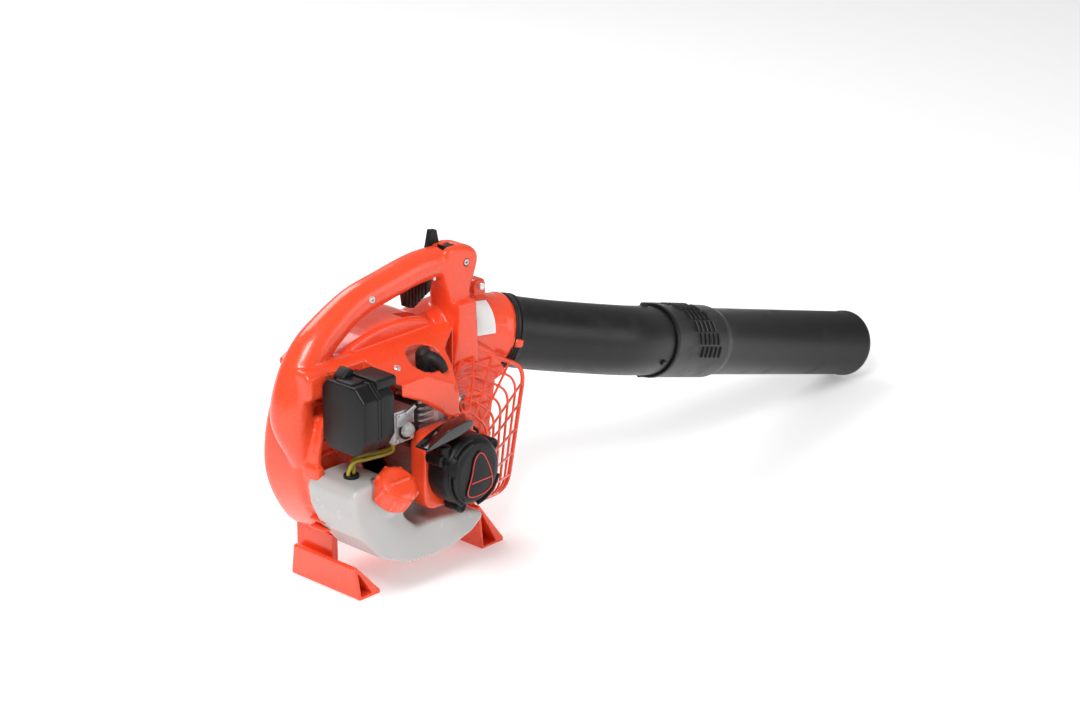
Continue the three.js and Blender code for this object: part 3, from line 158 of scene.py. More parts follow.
def slab(name, outline, start, end, along="y", bevel=0.0, segments=3, angle=40):
    bpy.ops.object.select_all(action="DESELECT")
    bpy.ops.mesh.primitive_circle_add(vertices=len(outline), radius=0.1, fill_type="NGON")
    piece = bpy.context.object
    piece.name = name
    for vertex, (a, b) in zip(piece.data.vertices, outline):
        vertex.co = at_axis(a, b, start, along)
    move = at_axis(0, 0, end - start, along)
    extrude = lambda: bpy.ops.mesh.extrude_region_move(TRANSFORM_OT_translate={"value": move})
    in_edit_mode(piece, extrude)
    in_edit_mode(piece, outward)
    if bevel:
        apply_modifier(piece, "BEVEL", width=bevel * MM, segments=segments, limit_method="ANGLE",
                       angle_limit=math.radians(angle), use_clamp_overlap=True)
    return piece


def box_outline(a0, a1, b0, b1, chamfer=0.0):
    c = chamfer
    if not c:
        return [(a0, b0), (a1, b0), (a1, b1), (a0, b1)]
    return [(a0 + c, b0), (a1 - c, b0), (a1, b0 + c), (a1, b1 - c),
            (a1 - c, b1), (a0 + c, b1), (a0, b1 - c), (a0, b0 + c)]


def block(name, low, high, bevel=0.0, segments=2):
    outline = box_outline(low[0], high[0], low[2], high[2])
    return slab(name, outline, low[1], high[1], "y", bevel, segments)


# %% [markdown]
# ### Smooth lines through a few points
# Handles, hoses and case outlines are smooth curves known by a few points. A Catmull-Rom line passes
# through every one of them, so each point can be moved by itself. It takes tuples of any length, which
# lets a thickness ride along with the place.

# %% Smooth lines through a few points
def smooth_line(points, steps, closed=False):
    """Catmull-Rom through points of any length of tuple."""
    count = len(points)
    made = []
    spans = count if closed else count - 1
    for i in range(spans):
        near = [points[(i + k) % count] if closed else points[max(0, min(count - 1, i + k))]
                for k in (-1, 0, 1, 2)]
        for s in range(steps):
            t = s / steps
            made.append(tuple(
                0.5 * (2 * p1 + (p2 - p0) * t + (2 * p0 - 5 * p1 + 4 * p2 - p3) * t * t
                       + (3 * p1 - p0 - 3 * p2 + p3) * t ** 3)
                for p0, p1, p2, p3 in zip(*near)))
    if not closed:
        made.append(tuple(points[-1]))
    return made


# %% [markdown]
# ### Tubes along a line, and profiles turned about an axis
# Hoses and grips are tubes, and caps, bosses, screws and pipes are turned shapes. A curve with a bevel
# makes the tube, since it can change thickness on the way. A spun profile makes the turned shapes,
# since its ends close on the axis and its steps are exact.

# %% Tubes along a line, and profiles turned about an axis
def tube(name, points, radius, sides=8, capped=True):
    """A round tube; each point may carry a fourth number, its own share of the radius."""
    curve = bpy.data.curves.new(name, "CURVE")
    curve.dimensions = "3D"
    curve.bevel_depth = radius * MM
    curve.bevel_resolution = sides
    curve.use_fill_caps = capped
    spline = curve.splines.new("POLY")
    spline.points.add(len(points) - 1)
    for point, values in zip(spline.points, points):
        point.co = (*[v * MM for v in values[:3]], 1)
        point.radius = values[3] if len(values) > 3 else 1.0
    piece = bpy.data.objects.new(name, curve)
    bpy.context.collection.objects.link(piece)
    select_only(piece)
    bpy.ops.object.convert(target="MESH")
    return in_edit_mode(bpy.context.object, merged, outward)


def turned(name, profile, origin, direction, steps=48):
    """A closed [radius, height] profile spun about an axis, all in millimetres."""
    bpy.ops.object.select_all(action="DESELECT")
    bpy.ops.mesh.primitive_circle_add(vertices=len(profile), radius=0.1, fill_type="NOTHING")
    piece = bpy.context.object
    piece.name = name
    for vertex, (r, h) in zip(piece.data.vertices, profile):
        vertex.co = Vector((r, 0, h)) * MM
    spin = lambda: bpy.ops.mesh.spin(steps=steps, angle=2 * math.pi, center=(0, 0, 0), axis=(0, 0, 1))
    clean = lambda: bpy.ops.mesh.dissolve_degenerate(threshold=1e-6)
    in_edit_mode(piece, spin, lambda: bpy.ops.mesh.select_all(action="SELECT"), merged, clean)
    in_edit_mode(piece, lambda: bpy.ops.mesh.delete_loose(), outward)
    turn = Vector(direction).to_track_quat("Z", "Y").to_matrix().to_4x4()
    piece.matrix_world = Matrix.Translation(Vector(origin) * MM) @ turn
    return settle(piece)


def rod(name, start, end, radius, steps=24, bevel=0.0):
    length = (Vector(end) - Vector(start)).length
    profile = [(0, 0), (radius - bevel, 0), (radius, bevel), (radius, length - bevel),
               (radius - bevel, length), (0, length)]
    if not bevel:
        profile = [(0, 0), (radius, 0), (radius, length), (0, length)]
    return turned(name, profile, start, Vector(end) - Vector(start), steps)


# %% [markdown]
# ### Joining, cutting and softening
# A moulding is one skin with soft inside corners. Overlapping closed shapes are joined, remeshed with
# small voxels and smoothed. Boolean unions would keep hard creases, so they are only used to cut the
# crisp openings afterwards. A CAD piece arrives as loose triangles, so its copy is merged first.

# %% Joining, cutting and softening
def joined(name, *pieces):
    select_only(*pieces)
    bpy.ops.object.join()
    piece = bpy.context.object
    piece.name = name
    return piece


def cad_copy(name, *nodes):
    copies = []
    for node in nodes:
        copy = bpy.data.objects.new(name, frame["nodes"][node].data.copy())
        bpy.context.collection.objects.link(copy)
        copies.append(copy)
    piece = joined(name, *copies) if len(copies) > 1 else copies[0]
    piece.data.materials.clear()
    flat = lambda: bpy.ops.mesh.dissolve_limited(angle_limit=math.radians(1))
    return in_edit_mode(piece, merged, flat)


def one_skin(piece, voxel, rounds, factor=0.5):
    select_only(piece)
    piece.data.remesh_voxel_size = voxel * MM
    bpy.ops.object.voxel_remesh()
    if rounds:
        apply_modifier(piece, "SMOOTH", iterations=rounds, factor=factor)
    print(piece.name, "skin of", len(piece.data.polygons), "faces")
    return piece


def cut_with(piece, *tools):
    for tool in tools:
        apply_modifier(piece, "BOOLEAN", operation="DIFFERENCE", solver="MANIFOLD", object=tool)
        bpy.data.objects.remove(tool)
    return piece


def thinned(piece, share):
    return apply_modifier(piece, "DECIMATE", ratio=share)


def rounded_copy(name, nodes, width, segments=2, angle=35):
    piece = cad_copy(name, *nodes)
    apply_modifier(piece, "BEVEL", width=width * MM, segments=segments, limit_method="ANGLE",
                   angle_limit=math.radians(angle), use_clamp_overlap=True)
    return piece


def finish_piece(piece, body, material, nodes=(), angle=38):
    piece.data.materials.clear()
    piece.data.materials.append(material)
    select_only(piece)
    bpy.ops.object.shade_smooth_by_angle(angle=math.radians(angle))
    if nodes:
        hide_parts(*nodes)
    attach(piece, body)
    return piece


# %% [markdown]
# ## Finishes
# Moulded plastic is never one flat colour: it has a fine grain, faint flow marks, some dust and
# small scuffs on its edges. These repeated effects are node groups that put out only masks and
# varying values, and each finish mixes them into its own shader.

# %% [markdown]
# ### Node helpers
# Each finish is built from the same few shader nodes. Two helpers keep that short: one makes a group
# with named inputs and outputs, the other adds a node and links it in one line.

# %% Node helpers
def new_group(name, inputs, outputs):
    group = bpy.data.node_groups.new(name, "ShaderNodeTree")
    for label, kind, default in inputs:
        socket = group.interface.new_socket(label, in_out="INPUT", socket_type=kind)
        if default is not None:
            socket.default_value = default
    for label, kind in outputs:
        group.interface.new_socket(label, in_out="OUTPUT", socket_type=kind)
    return group, group.nodes.new("NodeGroupInput"), group.nodes.new("NodeGroupOutput")


def node(tree, kind, links=None, **settings):
    made = tree.nodes.new(kind)
    for key, value in settings.items():
        if hasattr(made, key):
            setattr(made, key, value)
        else:
            made.inputs[key.replace("_", " ")].default_value = value
    for target, source in (links or {}).items():
        tree.links.new(source, made.inputs[target])
    return made


# %% [markdown]
# ### Wear group
# A used machine has a little dust on its surfaces and paler, rubbed edges. Noise makes the dust and
# the mesh's own pointiness finds the edges. The group gives out two masks and leaves colour to the
# finish, so every material can use it.

# %% Wear group: patches of dust and rubbed edges
def make_wear_group():
    group, given, out = new_group("surface wear",
                                  [("Vector", "NodeSocketVector", None), ("Size", "NodeSocketFloat", 30.0)],
                                  [("Dust", "NodeSocketFloat"), ("Edge", "NodeSocketFloat")])
    cloud = node(group, "ShaderNodeTexNoise",
                 {"Vector": given.outputs["Vector"], "Scale": given.outputs["Size"]},
                 Detail=6.0, Roughness=0.6)
    dust = node(group, "ShaderNodeMapRange", {"Value": cloud.outputs["Fac"]})
    dust.inputs["From Min"].default_value = 0.52
    dust.inputs["From Max"].default_value = 0.78
    shape = group.nodes.new("ShaderNodeNewGeometry")
    edge = node(group, "ShaderNodeMapRange", {"Value": shape.outputs["Pointiness"]})
    edge.inputs["From Min"].default_value = 0.53
    edge.inputs["From Max"].default_value = 0.62
    group.links.new(dust.outputs["Result"], out.inputs["Dust"])
    group.links.new(edge.outputs["Result"], out.inputs["Edge"])
    return group


WEAR = make_wear_group()


# %% [markdown]
# ### Grain group
# Mould faces are finely sparked, and cooling leaves broad, faint flow marks. A fine noise and a broad
# one are added into one bump. The broad one is also given out, to vary the colour slightly.

# %% Grain group: the fine texture of a mould
def make_grain_group():
    group, given, out = new_group("mould grain",
                                  [("Vector", "NodeSocketVector", None), ("Scale", "NodeSocketFloat", 900.0),
                                   ("Height", "NodeSocketFloat", 0.1)],
                                  [("Normal", "NodeSocketVector"), ("Value", "NodeSocketFloat")])
    fine = node(group, "ShaderNodeTexNoise",
                {"Vector": given.outputs["Vector"], "Scale": given.outputs["Scale"]},
                Detail=3.0)
    broad = node(group, "ShaderNodeTexNoise", {"Vector": given.outputs["Vector"]}, Scale=14.0, Detail=2.0)
    total = node(group, "ShaderNodeMath", {0: fine.outputs["Fac"], 1: broad.outputs["Fac"]}, operation="ADD")
    bump = node(group, "ShaderNodeBump", {"Height": total.outputs[0], "Strength": given.outputs["Height"]})
    bump.inputs["Distance"].default_value = 0.0004
    group.links.new(bump.outputs["Normal"], out.inputs["Normal"])
    group.links.new(broad.outputs["Fac"], out.inputs["Value"])
    return group


GRAIN = make_grain_group()


# %% [markdown]
# ### A moulded or cast finish built from the two groups
# All finishes on this object share one recipe and differ in colour, gloss and metal. A function makes
# them, so that dust, edges and grain stay alike from piece to piece. Values that don't vary are set
# directly on the shader's sockets.

# %% A moulded or cast finish built from the two groups
def finish(name, colour, roughness, grain=900.0, height=0.1, dust=0.12, dust_colour=(0.35, 0.33, 0.3),
           metallic=0.0, coat=0.0, variation=0.12, edge_light=0.25, dulling=0.25, **sockets):
    material = bpy.data.materials.new(name)
    material.use_nodes = True
    tree = material.node_tree
    shader = tree.nodes["Principled BSDF"]
    place = node(tree, "ShaderNodeTexCoord")
    wear = node(tree, "ShaderNodeGroup", {}, node_tree=WEAR)
    surface = node(tree, "ShaderNodeGroup", {}, node_tree=GRAIN)
    for each in (wear, surface):
        tree.links.new(place.outputs["Object"], each.inputs["Vector"])
    surface.inputs["Scale"].default_value = grain
    surface.inputs["Height"].default_value = height
    darker = tuple(c * (1 - variation) for c in colour)
    lighter = tuple(min(1, c * (1 + variation)) for c in colour)
    tint = node(tree, "ShaderNodeMix", {"Factor": surface.outputs["Value"]}, data_type="RGBA")
    tint.inputs[6].default_value = (*darker, 1)
    tint.inputs[7].default_value = (*lighter, 1)
    dusty = node(tree, "ShaderNodeMath", {0: wear.outputs["Dust"]}, operation="MULTIPLY")
    dusty.inputs[1].default_value = dust
    with_dust = node(tree, "ShaderNodeMix", {"Factor": dusty.outputs[0], 6: tint.outputs[2]},
                     data_type="RGBA")
    with_dust.inputs[7].default_value = (*dust_colour, 1)
    rubbed = node(tree, "ShaderNodeMath", {0: wear.outputs["Edge"]}, operation="MULTIPLY")
    rubbed.inputs[1].default_value = edge_light
    edged = node(tree, "ShaderNodeMix", {"Factor": rubbed.outputs[0], 6: with_dust.outputs[2]},
                 data_type="RGBA")
    edged.inputs[7].default_value = (*[min(1, c * 1.5 + 0.04) for c in colour], 1)
    tree.links.new(edged.outputs[2], shader.inputs["Base Color"])
    rough = node(tree, "ShaderNodeMapRange", {"Value": wear.outputs["Dust"]})
    rough.inputs["To Min"].default_value = roughness
    rough.inputs["To Max"].default_value = min(1, roughness + dulling)
    tree.links.new(rough.outputs["Result"], shader.inputs["Roughness"])
    tree.links.new(surface.outputs["Normal"], shader.inputs["Normal"])
    shader.inputs["Metallic"].default_value = metallic
    shader.inputs["Coat Weight"].default_value = coat
    shader.inputs["Coat Roughness"].default_value = 0.08
    for key, value in sockets.items():
        shader.inputs[key.replace("_", " ")].default_value = value
    return material


# %% [markdown]
# ### The blower's own finishes
# Orange and black mouldings, a milky tank, die-cast and plated metal, rubber, hose, foam and rope.
# The inner pieces keep their CAD shapes, so they take the finish of their material slot here.

# %% The blower's own finishes
ORANGE = finish("orange moulded plastic", (0.9, 0.072, 0.02), 0.24, grain=700, height=0.05, dust=0.04,
                coat=0.25)
PIPE_BLACK = finish("satin black pipe plastic", (0.008, 0.0083, 0.009), 0.34, grain=1400, height=0.15,
                    dust=0.03,
                    Specular_IOR_Level=0.4)
BLACK = finish("satin black moulded plastic", (0.006, 0.0062, 0.0068), 0.38, grain=1100, height=0.15,
               dust=0.03,
               Specular_IOR_Level=0.3)
GLOSS_BLACK = finish("polished black grip plastic", (0.006, 0.006, 0.007), 0.12, grain=500, height=0.03,
                     coat=0.5)
RUBBER = finish("black rubber", (0.008, 0.008, 0.008), 0.5, grain=1500, height=0.3, dust=0.06,
                Specular_IOR_Level=0.35)
TANK = finish("milky tank plastic", (0.5, 0.5, 0.49), 0.26, grain=300, height=0.06, dust=0.02,
              dust_colour=(0.5, 0.49, 0.45), edge_light=0.0, dulling=0.03, variation=0.04,
              Subsurface_Weight=0.35, Subsurface_Scale=0.02)
CAST = finish("die-cast aluminium", (0.55, 0.56, 0.57), 0.38, grain=1200, height=0.5, metallic=0.9, dust=0.2)
STEEL = finish("zinc-plated steel", (0.7, 0.7, 0.72), 0.3, grain=600, height=0.1, metallic=0.55)
HOSE = finish("yellow fuel hose", (0.42, 0.36, 0.03), 0.3, grain=500, height=0.05)
BULB = finish("clear bulb plastic", (0.75, 0.76, 0.74), 0.08, grain=300, height=0.03,
              Transmission_Weight=0.6, IOR=1.45)
FOAM = finish("filter foam", (0.05, 0.05, 0.045), 0.9, grain=2500, height=1.0)
ROPE = finish("braided rope", (0.03, 0.03, 0.03), 0.8, grain=2200, height=0.9)
RED_LINE = finish("red badge line", (0.62, 0.03, 0.02), 0.3, grain=600, height=0.05)
LABEL = finish("white label", (0.8, 0.8, 0.79), 0.45, grain=800, height=0.03, variation=0.03)

CAD_FINISH = {"orange_plastic": ORANGE, "black_plastic": BLACK, "gloss_black_plastic": GLOSS_BLACK,
              "cast_aluminium": CAST, "steel": STEEL, "rubber": RUBBER, "tank_plastic": TANK,
              "clear_plastic": BULB, "fuel_hose": HOSE, "filter_foam": FOAM, "rope": ROPE}
SLOT_OF = {row["node"]: row["material_slot"] for row in frame["record"]["subparts"]}
for name, cad in frame["nodes"].items():
    cad.data.materials.clear()
    cad.data.materials.append(CAD_FINISH[SLOT_OF[name]])
print("finishes on", len(frame["nodes"]), "CAD pieces")

# %% [markdown]
# ## Orange body
# The fan case, the duct, the handle and the hood are separate mouldings whose surfaces flow into each
# other. They are built as overlapping closed shapes, turned into one skin by a voxel remesh, and
# smoothed, which rounds every junction the way a mould does.

# %% Fan case: a snail-shaped outline about the crank axis
CRANK = (91, 150)
CASE_RADII = [(0, 108), (45, 122), (75, 141), (95, 143), (120, 144), (149, 152), (180, 147), (207, 139),
              (228, 128), (270, 118), (315, 110)]
case_points = [(CRANK[0] + r * math.cos(math.radians(a)), CRANK[1] + r * math.sin(math.radians(a)))
               for a, r in CASE_RADII]
case_outline = smooth_line(case_points, 8, closed=True)
case = slab("case", case_outline, -14, 62, bevel=14, segments=5, angle=60)

# %% [markdown]
# ### Duct
# The air leaves the case through a round duct that ends in a stiff rim. The clamp bolt passes through
# a lug on top, and a smaller lug stands on the near side. The duct is a tube on the CAD's path, and
# its rim is a turned ring about the outlet direction.

# %% Duct: a round tube that leaves the case along the top
OUTLET = Vector((0.914, -0.297, -0.276)).normalized()
RING = Vector((286, 20, 228))
duct_points = [(136, 21, 244), (196, 23, 250), (241, 25, 242), tuple(RING - 0.5 * OUTLET)]
duct = tube("duct", smooth_line(duct_points, 6), 43)
duct_rim = rod("duct_rim", RING - 11 * OUTLET, RING, 45, 48, bevel=1.5)
lug = slab("lug", box_outline(242, 262, 276, 302, 4), 12, 32, bevel=1.5)
clamp = rod("clamp", RING - 11 * OUTLET + Vector((0, -44, -6)), RING - 1 * OUTLET + Vector((0, -44, -6)), 6,
            20)

# %% [markdown]
# ### Handle
# The grip is a hollow bow in two halves. It is thick where it leaves the case and thins towards the
# trigger, so each point of the tube carries its own thickness. The front post is wider than it is
# thick, so it is a rounded slab with a waist.

# %% Handle: a bow that is thick at its root, and a waisted front post
handle_points = [(-14, 10, 112, 0.35), (-34, 4, 148, 0.62), (-50, 0, 184, 1.0), (-60, 0, 222, 1.28),
                 (-51, 0, 260, 1.28), (-30, 0, 291, 1.22), (-3, 0, 311, 1.12),
                 (36, 0, 331, 1.02), (79, 0, 340, 1.0), (139, 0, 349, 1.0), (197, 0, 346, 0.95)]
bow = tube("bow", smooth_line(handle_points, 5), 19)
post_points = [(167, 364), (190, 366), (211, 360), (221, 346), (215, 325), (208, 310), (208, 286), (214, 258),
               (172, 258), (175, 282), (172, 302), (164, 332)]
post = slab("post", smooth_line(post_points, 3, closed=True), -19, 19, bevel=7, segments=3, angle=60)
foot_points = [(176, 300), (204, 300), (206, 258), (208, 219), (162, 219), (172, 258)]
post_foot = slab("post_foot", foot_points, -31, -8, bevel=3)

# %% [markdown]
# ### Hood
# The hood guides cooling air over the cylinder and runs into the case. The CAD's hood is the starting
# shape. A shoulder joins it to the handle's root, a crown fills the case under the grip, a skirt closes
# its near side, and thin panels stand behind the grille.

# %% Hood: the sloping shell over the cylinder, its shoulder and the panel above the grille
hood = cad_copy("hood", "engine_hood")
wall = cad_copy("wall", "flywheel_shroud")
shoulder = slab("shoulder", [(-8, 283), (-28, 283), (-37, 276), (-37, 252), (-8, 236)], -66, 20, "x",
                bevel=5, angle=20)
SHOULDER_TOP = [(-30, 262), (10, 286), (52, 297), (96, 299), (140, 290), (150, 262), (60, 250)]
crown = slab("crown", smooth_line(SHOULDER_TOP, 3, closed=True), -16, 58, bevel=11, segments=4, angle=60)
wing = slab("wing", [(150, 262), (196, 256), (244, 222), (262, 192), (230, 184), (200, 206), (150, 214)],
            -24, -10, bevel=4)
skirt = slab("skirt",
             [(18, 264), (60, 264), (100, 244), (100, 203), (88, 206), (72, 219), (48, 236), (18, 250)],
             -98, -94.6, bevel=1)
guide = slab("guide", [(142, 205), (150, 216), (180, 200), (186, 150), (180, 96), (158, 92), (142, 100)],
             -70, -67)
backing = slab("backing", [(150, 226), (214, 214), (250, 186), (238, 120), (231, 56), (150, 44)], -16, -10,
               bevel=2)


# %% [markdown]
# ### Rim
# At the rear a low wall stands forward of the case and makes a pocket beside the air cleaner. It follows
# the case's own outline at two insets, so it is computed from the same radii.

# %% Rim: a low wall that follows the rear edge of the case, with a pocket behind it
def on_case(degrees, inset):
    turn = math.radians(degrees)
    lower = max((a, r) for a, r in CASE_RADII if a <= degrees)
    upper = min((a, r) for a, r in CASE_RADII if a > degrees)
    share = (degrees - lower[0]) / (upper[0] - lower[0])
    r = lower[1] + (upper[1] - lower[1]) * share - inset
    return (CRANK[0] + r * math.cos(turn), CRANK[1] + r * math.sin(turn))


outer_edge = [on_case(a, 3) for a in range(150, 246, 6)]
inner_edge = [on_case(a, 12) for a in range(240, 144, -6)]
rim = slab("rim", outer_edge + inner_edge, -31, -6, bevel=2.5, segments=3, angle=50)

# %% [markdown]
# ### Back of the case
# The far side is a plain cover. A stepped plate and a hub stiffen it, as such covers usually have. Both
# are turned about the crank axis.

# %% Back of the case: a stepped plate and a raised hub
guide_foot = block("guide_foot", (178, -70, 110), (184, -10, 118), 1)
back_step = turned("back_step", [(0, 0), (84, 0), (80, 4.5), (62, 5.5), (58, 1), (0, 1)], (91, 60, 150),
                   (0, 1, 0), 72)
back_plate = turned("back_plate", [(0, 0), (30, 0), (27, 5), (20, 6.5), (0, 6.5)], (91, 60, 150), (0, 1, 0),
                    48)

# %% [markdown]
# ### Ribs and bosses on the rear of the case
# Thin ribs stiffen the pocket's floor and the lower rear edge. They are small blocks with a soft edge,
# repeated by a loop over their heights.

# %% Ribs and bosses on the rear of the case
ribs = []
for z in (122, 112, 96, 86):
    ribs.append(block("rib", (-46, -34, z), (-18, -8, z + 4), 1.0))
for z in (236, 220, 204, 188, 172):
    ribs.append(block("rib", (-52, -22, z), (-6, -8, z + 3), 0.8))
bracket = block("bracket", (-56, -36, 150), (-44, -10, 168), 2.5)

# %% [markdown]
# ### One skin, then the openings
# Everything orange so far is one surface on the real machine. It is joined, made one skin and smoothed.
# The slots for the trigger, lever and switch, the screw recesses, the air inlet and the plug opening
# are cut afterwards, so their edges stay crisp.

# %% One skin, then the openings
orange_body = joined("orange_body", case, duct, duct_rim, lug, clamp, bow, post, post_foot, hood, wall,
                     shoulder,
                     crown, wing, skirt, guide, guide_foot, backing, back_step, back_plate, rim, bracket, *ribs)
one_skin(orange_body, 1.9, 9)
trigger_slot = block("slot", (106, -7.6, 270), (158, 7.6, 336))
lever_slot = block("slot", (153, 8, 346), (191, 16, 392))
switch_slot = block("slot", (168, -12, 350), (190, 2, 392))
screw_slots = [rod("slot", (x, -40, z), (x, -12, z), 5.2) for x, z in ((49, 337), (199, 344))]
eye = turned("slot", [(27, -6), (60, -6), (60, 24), (27, 24)], (91, -14, 150), (0, 1, 0), 64)
lug_hole = rod("slot", (252, 0, 294), (252, 50, 294), 3)
plug_way = rod("slot", (89, -44, 212), (89, -71, 302), 22, 40)
screw_slots.append(rod("slot", (-36, -60, 272), (-36, -24, 272), 5.5))
cut_with(orange_body, plug_way, trigger_slot, lever_slot, switch_slot, eye, lug_hole, *screw_slots)
if len(orange_body.data.polygons) > 95000:
    thinned(orange_body, 190000 / (2.0 * len(orange_body.data.polygons)))
finish_piece(orange_body, "housing", ORANGE,
             ("fan_case_inner", "fan_case_cover", "handle_shell_near", "handle_shell_far", "engine_hood",
              "flywheel_shroud"), 45)
print("orange body", len(orange_body.data.polygons), "faces")

# %% [markdown]
# ### Label
# A paper label wraps round the duct's near side. A grid is bent onto the duct's radius and given a
# small thickness. It is left blank.

# %% Label: a thin white patch that follows the duct, left blank
LABEL_FROM, LABEL_TO = Vector((208, 23, 247.5)), Vector((246, 25, 241))
label_way = (LABEL_TO - LABEL_FROM).normalized()
label_side = Vector((0, -1, 0))
label_up = label_way.cross(Vector((0, 1, 0))).normalized()
bpy.ops.object.select_all(action="DESELECT")
bpy.ops.mesh.primitive_grid_add(x_subdivisions=8, y_subdivisions=12, size=0.1)
label = bpy.context.object
label.name = "label"
for vertex in label.data.vertices:
    along, turn = vertex.co.x / 0.1 + 0.5, math.radians(32 + (vertex.co.y / 0.1) * 56)
    centre = LABEL_FROM.lerp(LABEL_TO, along)
    vertex.co = (centre + (label_side * math.cos(turn) + label_up * math.sin(turn)) * 43.6) * MM
apply_modifier(label, "SOLIDIFY", thickness=0.4 * MM, offset=0)
in_edit_mode(label, outward)
finish_piece(label, "housing", LABEL)

# %% [markdown]
# ## Feet and grille
# The feet are hollow triangular tubes with walls of about 3 mm. A finer voxel keeps their walls while
# it rounds the edges. The grille's thin bars need a finer one still.

# %% Feet
for foot in ("rear_foot", "front_foot"):
    skin = one_skin(cad_copy(foot + "_skin", foot), 1.2, 3)
    finish_piece(skin, "housing", ORANGE, (foot,), 45)

# %% [markdown]
# ### Grille
# The grille keeps leaves and fingers out of the fan. Its loops are straight runs with rounded corners,
# stepped out from the engine to the case, and spokes cross them. Each bar is a thin tube, and one fine
# remesh melts the crossings together as in a moulded grille.

# %% Grille: six loops with rounded corners, and spokes that tie them together
LOOP_CORNERS = [[(190, 236), (206, 236), (292, 190), (261, 42), (214, 42)],
                [(132, 214), (168, 218), (220, 182), (206, 64), (164, 66)],
                [(114, 203), (124, 203), (152, 176), (152, 96), (130, 92)]]


def loop_corner(corner, t):
    ring = 0 if t < 0.5 else 1
    share = 2 * t - ring
    (x0, z0), (x1, z1) = LOOP_CORNERS[ring][corner], LOOP_CORNERS[ring + 1][corner]
    return Vector((x0 + (x1 - x0) * share, -22 - 74 * t, z0 + (z1 - z0) * share))


def rounded_run(points, reach):
    """Straight runs with each inner corner turned into a small curve."""
    made = [points[0]]
    for before, corner, after in zip(points, points[1:], points[2:]):
        near = corner + (before - corner).normalized() * min(reach, (before - corner).length * 0.45)
        far = corner + (after - corner).normalized() * min(reach, (after - corner).length * 0.45)
        for t in (0, 0.2, 0.4, 0.6, 0.8, 1):
            made.append(near * (1 - t) ** 2 + corner * 2 * t * (1 - t) + far * t * t)
    return [tuple(p) for p in made + [points[-1]]]


bars = []
for i in range(6):
    corners = [loop_corner(c, i / 5) for c in range(5)]
    bars.append(tube("bar", rounded_run(corners, 22 - 2 * i), 2.7 if i == 0 else 1.6, sides=4))
for corner, share, thick in ((0, 0, 2.6), (1, 0, 1.5), (1, 0.35, 1.5), (1, 0.7, 1.5), (2, 0.12, 1.5),
                             (2, 0.3, 1.5),
                             (2, 0.5, 1.5), (2, 0.7, 1.5), (2, 0.88, 1.5), (3, 0.3, 1.5), (3, 1, 2.6)):
    spoke = [tuple(loop_corner(corner, t).lerp(loop_corner(corner + 1, t), share)) for t in (0, 0.25, 0.5,
                                                                                             0.75, 1)]
    bars.append(tube("bar", spoke, thick, sides=4))
bars.append(rod("bar", (214, -22, 42), (200, -16, 54), 2.8))
grille = one_skin(joined("grille_skin", *bars), 0.95, 2)
finish_piece(grille, "housing", ORANGE, ("intake_grille",), 60)

# %% [markdown]
# ## Pipes
# The elbow is a tube along the CAD route with a real wall. The straight pipe is a turned profile: a
# wide collar with grip ribs, a plain run and a beaded lip.

# %% Elbow
ELBOW_END = Vector((510, -25, 165))
ALONG = Vector((0.958, 0.046, -0.28)).normalized()
elbow_from = RING + 9.6 * OUTLET
route = [elbow_from, elbow_from + 60 * OUTLET, ELBOW_END - 70 * ALONG, ELBOW_END, ELBOW_END + 30 * ALONG]
elbow = tube("elbow", smooth_line([tuple(p) for p in route], 9), 43, sides=14, capped=False)
apply_modifier(elbow, "SOLIDIFY", thickness=2.2 * MM, offset=-1)
collar_bead = turned("bead", [(41, 0), (45, 0.4), (45.4, 3), (44.6, 5.5), (41, 6)], elbow_from, OUTLET, 72)


def around(centre, degrees, radius, advance=0.0):
    """A point on a circle about the straight pipe's axis; 90 degrees is up."""
    side = Vector((0, 0, 1)).cross(ALONG).normalized()
    up = ALONG.cross(side).normalized()
    turn = math.radians(degrees)
    return centre + ALONG * advance - side * radius * math.cos(turn) + up * radius * math.sin(turn)


pegs = [rod("peg", around(ELBOW_END, a, 41, -16), around(ELBOW_END, a, 47, -16), 4, 24, 0.6)
        for a in (95, 215, 335)]
elbow = joined("elbow", elbow, collar_bead, *pegs)
finish_piece(elbow, "housing", PIPE_BLACK, ("pipe_elbow",))

# %% [markdown]
# ### Straight pipe
# The straight pipe pushes over the elbow and locks with a twist. Its collar, taper and beaded lip are
# one closed profile, spun about the pipe's axis. The grip ribs follow the collar, so each is a short
# tube on an arc about the same axis.

# %% Straight pipe
pipe = turned("pipe",
              [(43.6, 0), (45.8, 0), (46.4, 1.5), (46.4, 6), (45.8, 7.5), (45.8, 106), (44.9, 111),
               (42.6, 119),
                       (42.2, 122), (42.2, 427), (43.4, 429.5), (43.4, 434.5), (42.6, 436), (40.6, 436), (40,
                                                                                                          435),
                       (40, 42), (43.6, 36)], ELBOW_END, ALONG, 96)


def grip_rib(degrees, advance):
    """A short raised bar that follows the collar's curve."""
    arc = [tuple(around(ELBOW_END, degrees + d, 46.0, advance)) for d in (-9, -6, -3, 0, 3, 6, 9)]
    return tube("rib", arc, 1.7, sides=4)


ribs = [grip_rib(100 - 21 * k, 30 + 9 * i + 5 * k) for k in range(6) for i in range(5)]
top_pad = tube("pad", [tuple(around(ELBOW_END, 118, 45, a)) for a in (2, 20, 40)], 4, sides=4)
low_pad = tube("pad", [tuple(around(ELBOW_END, 262, 45, a)) for a in (2, 30, 60, 80)], 4, sides=4)
pipe = joined("pipe", pipe, top_pad, low_pad, *ribs)
finish_piece(pipe, "pipe", PIPE_BLACK, ("pipe_straight",))

# %% [markdown]
# ## Fuel tank and cap
# The tank is blow moulded, so it has no sharp edge anywhere. Its outline is pushed along Y, given its
# neck, made one skin and smoothed a lot.

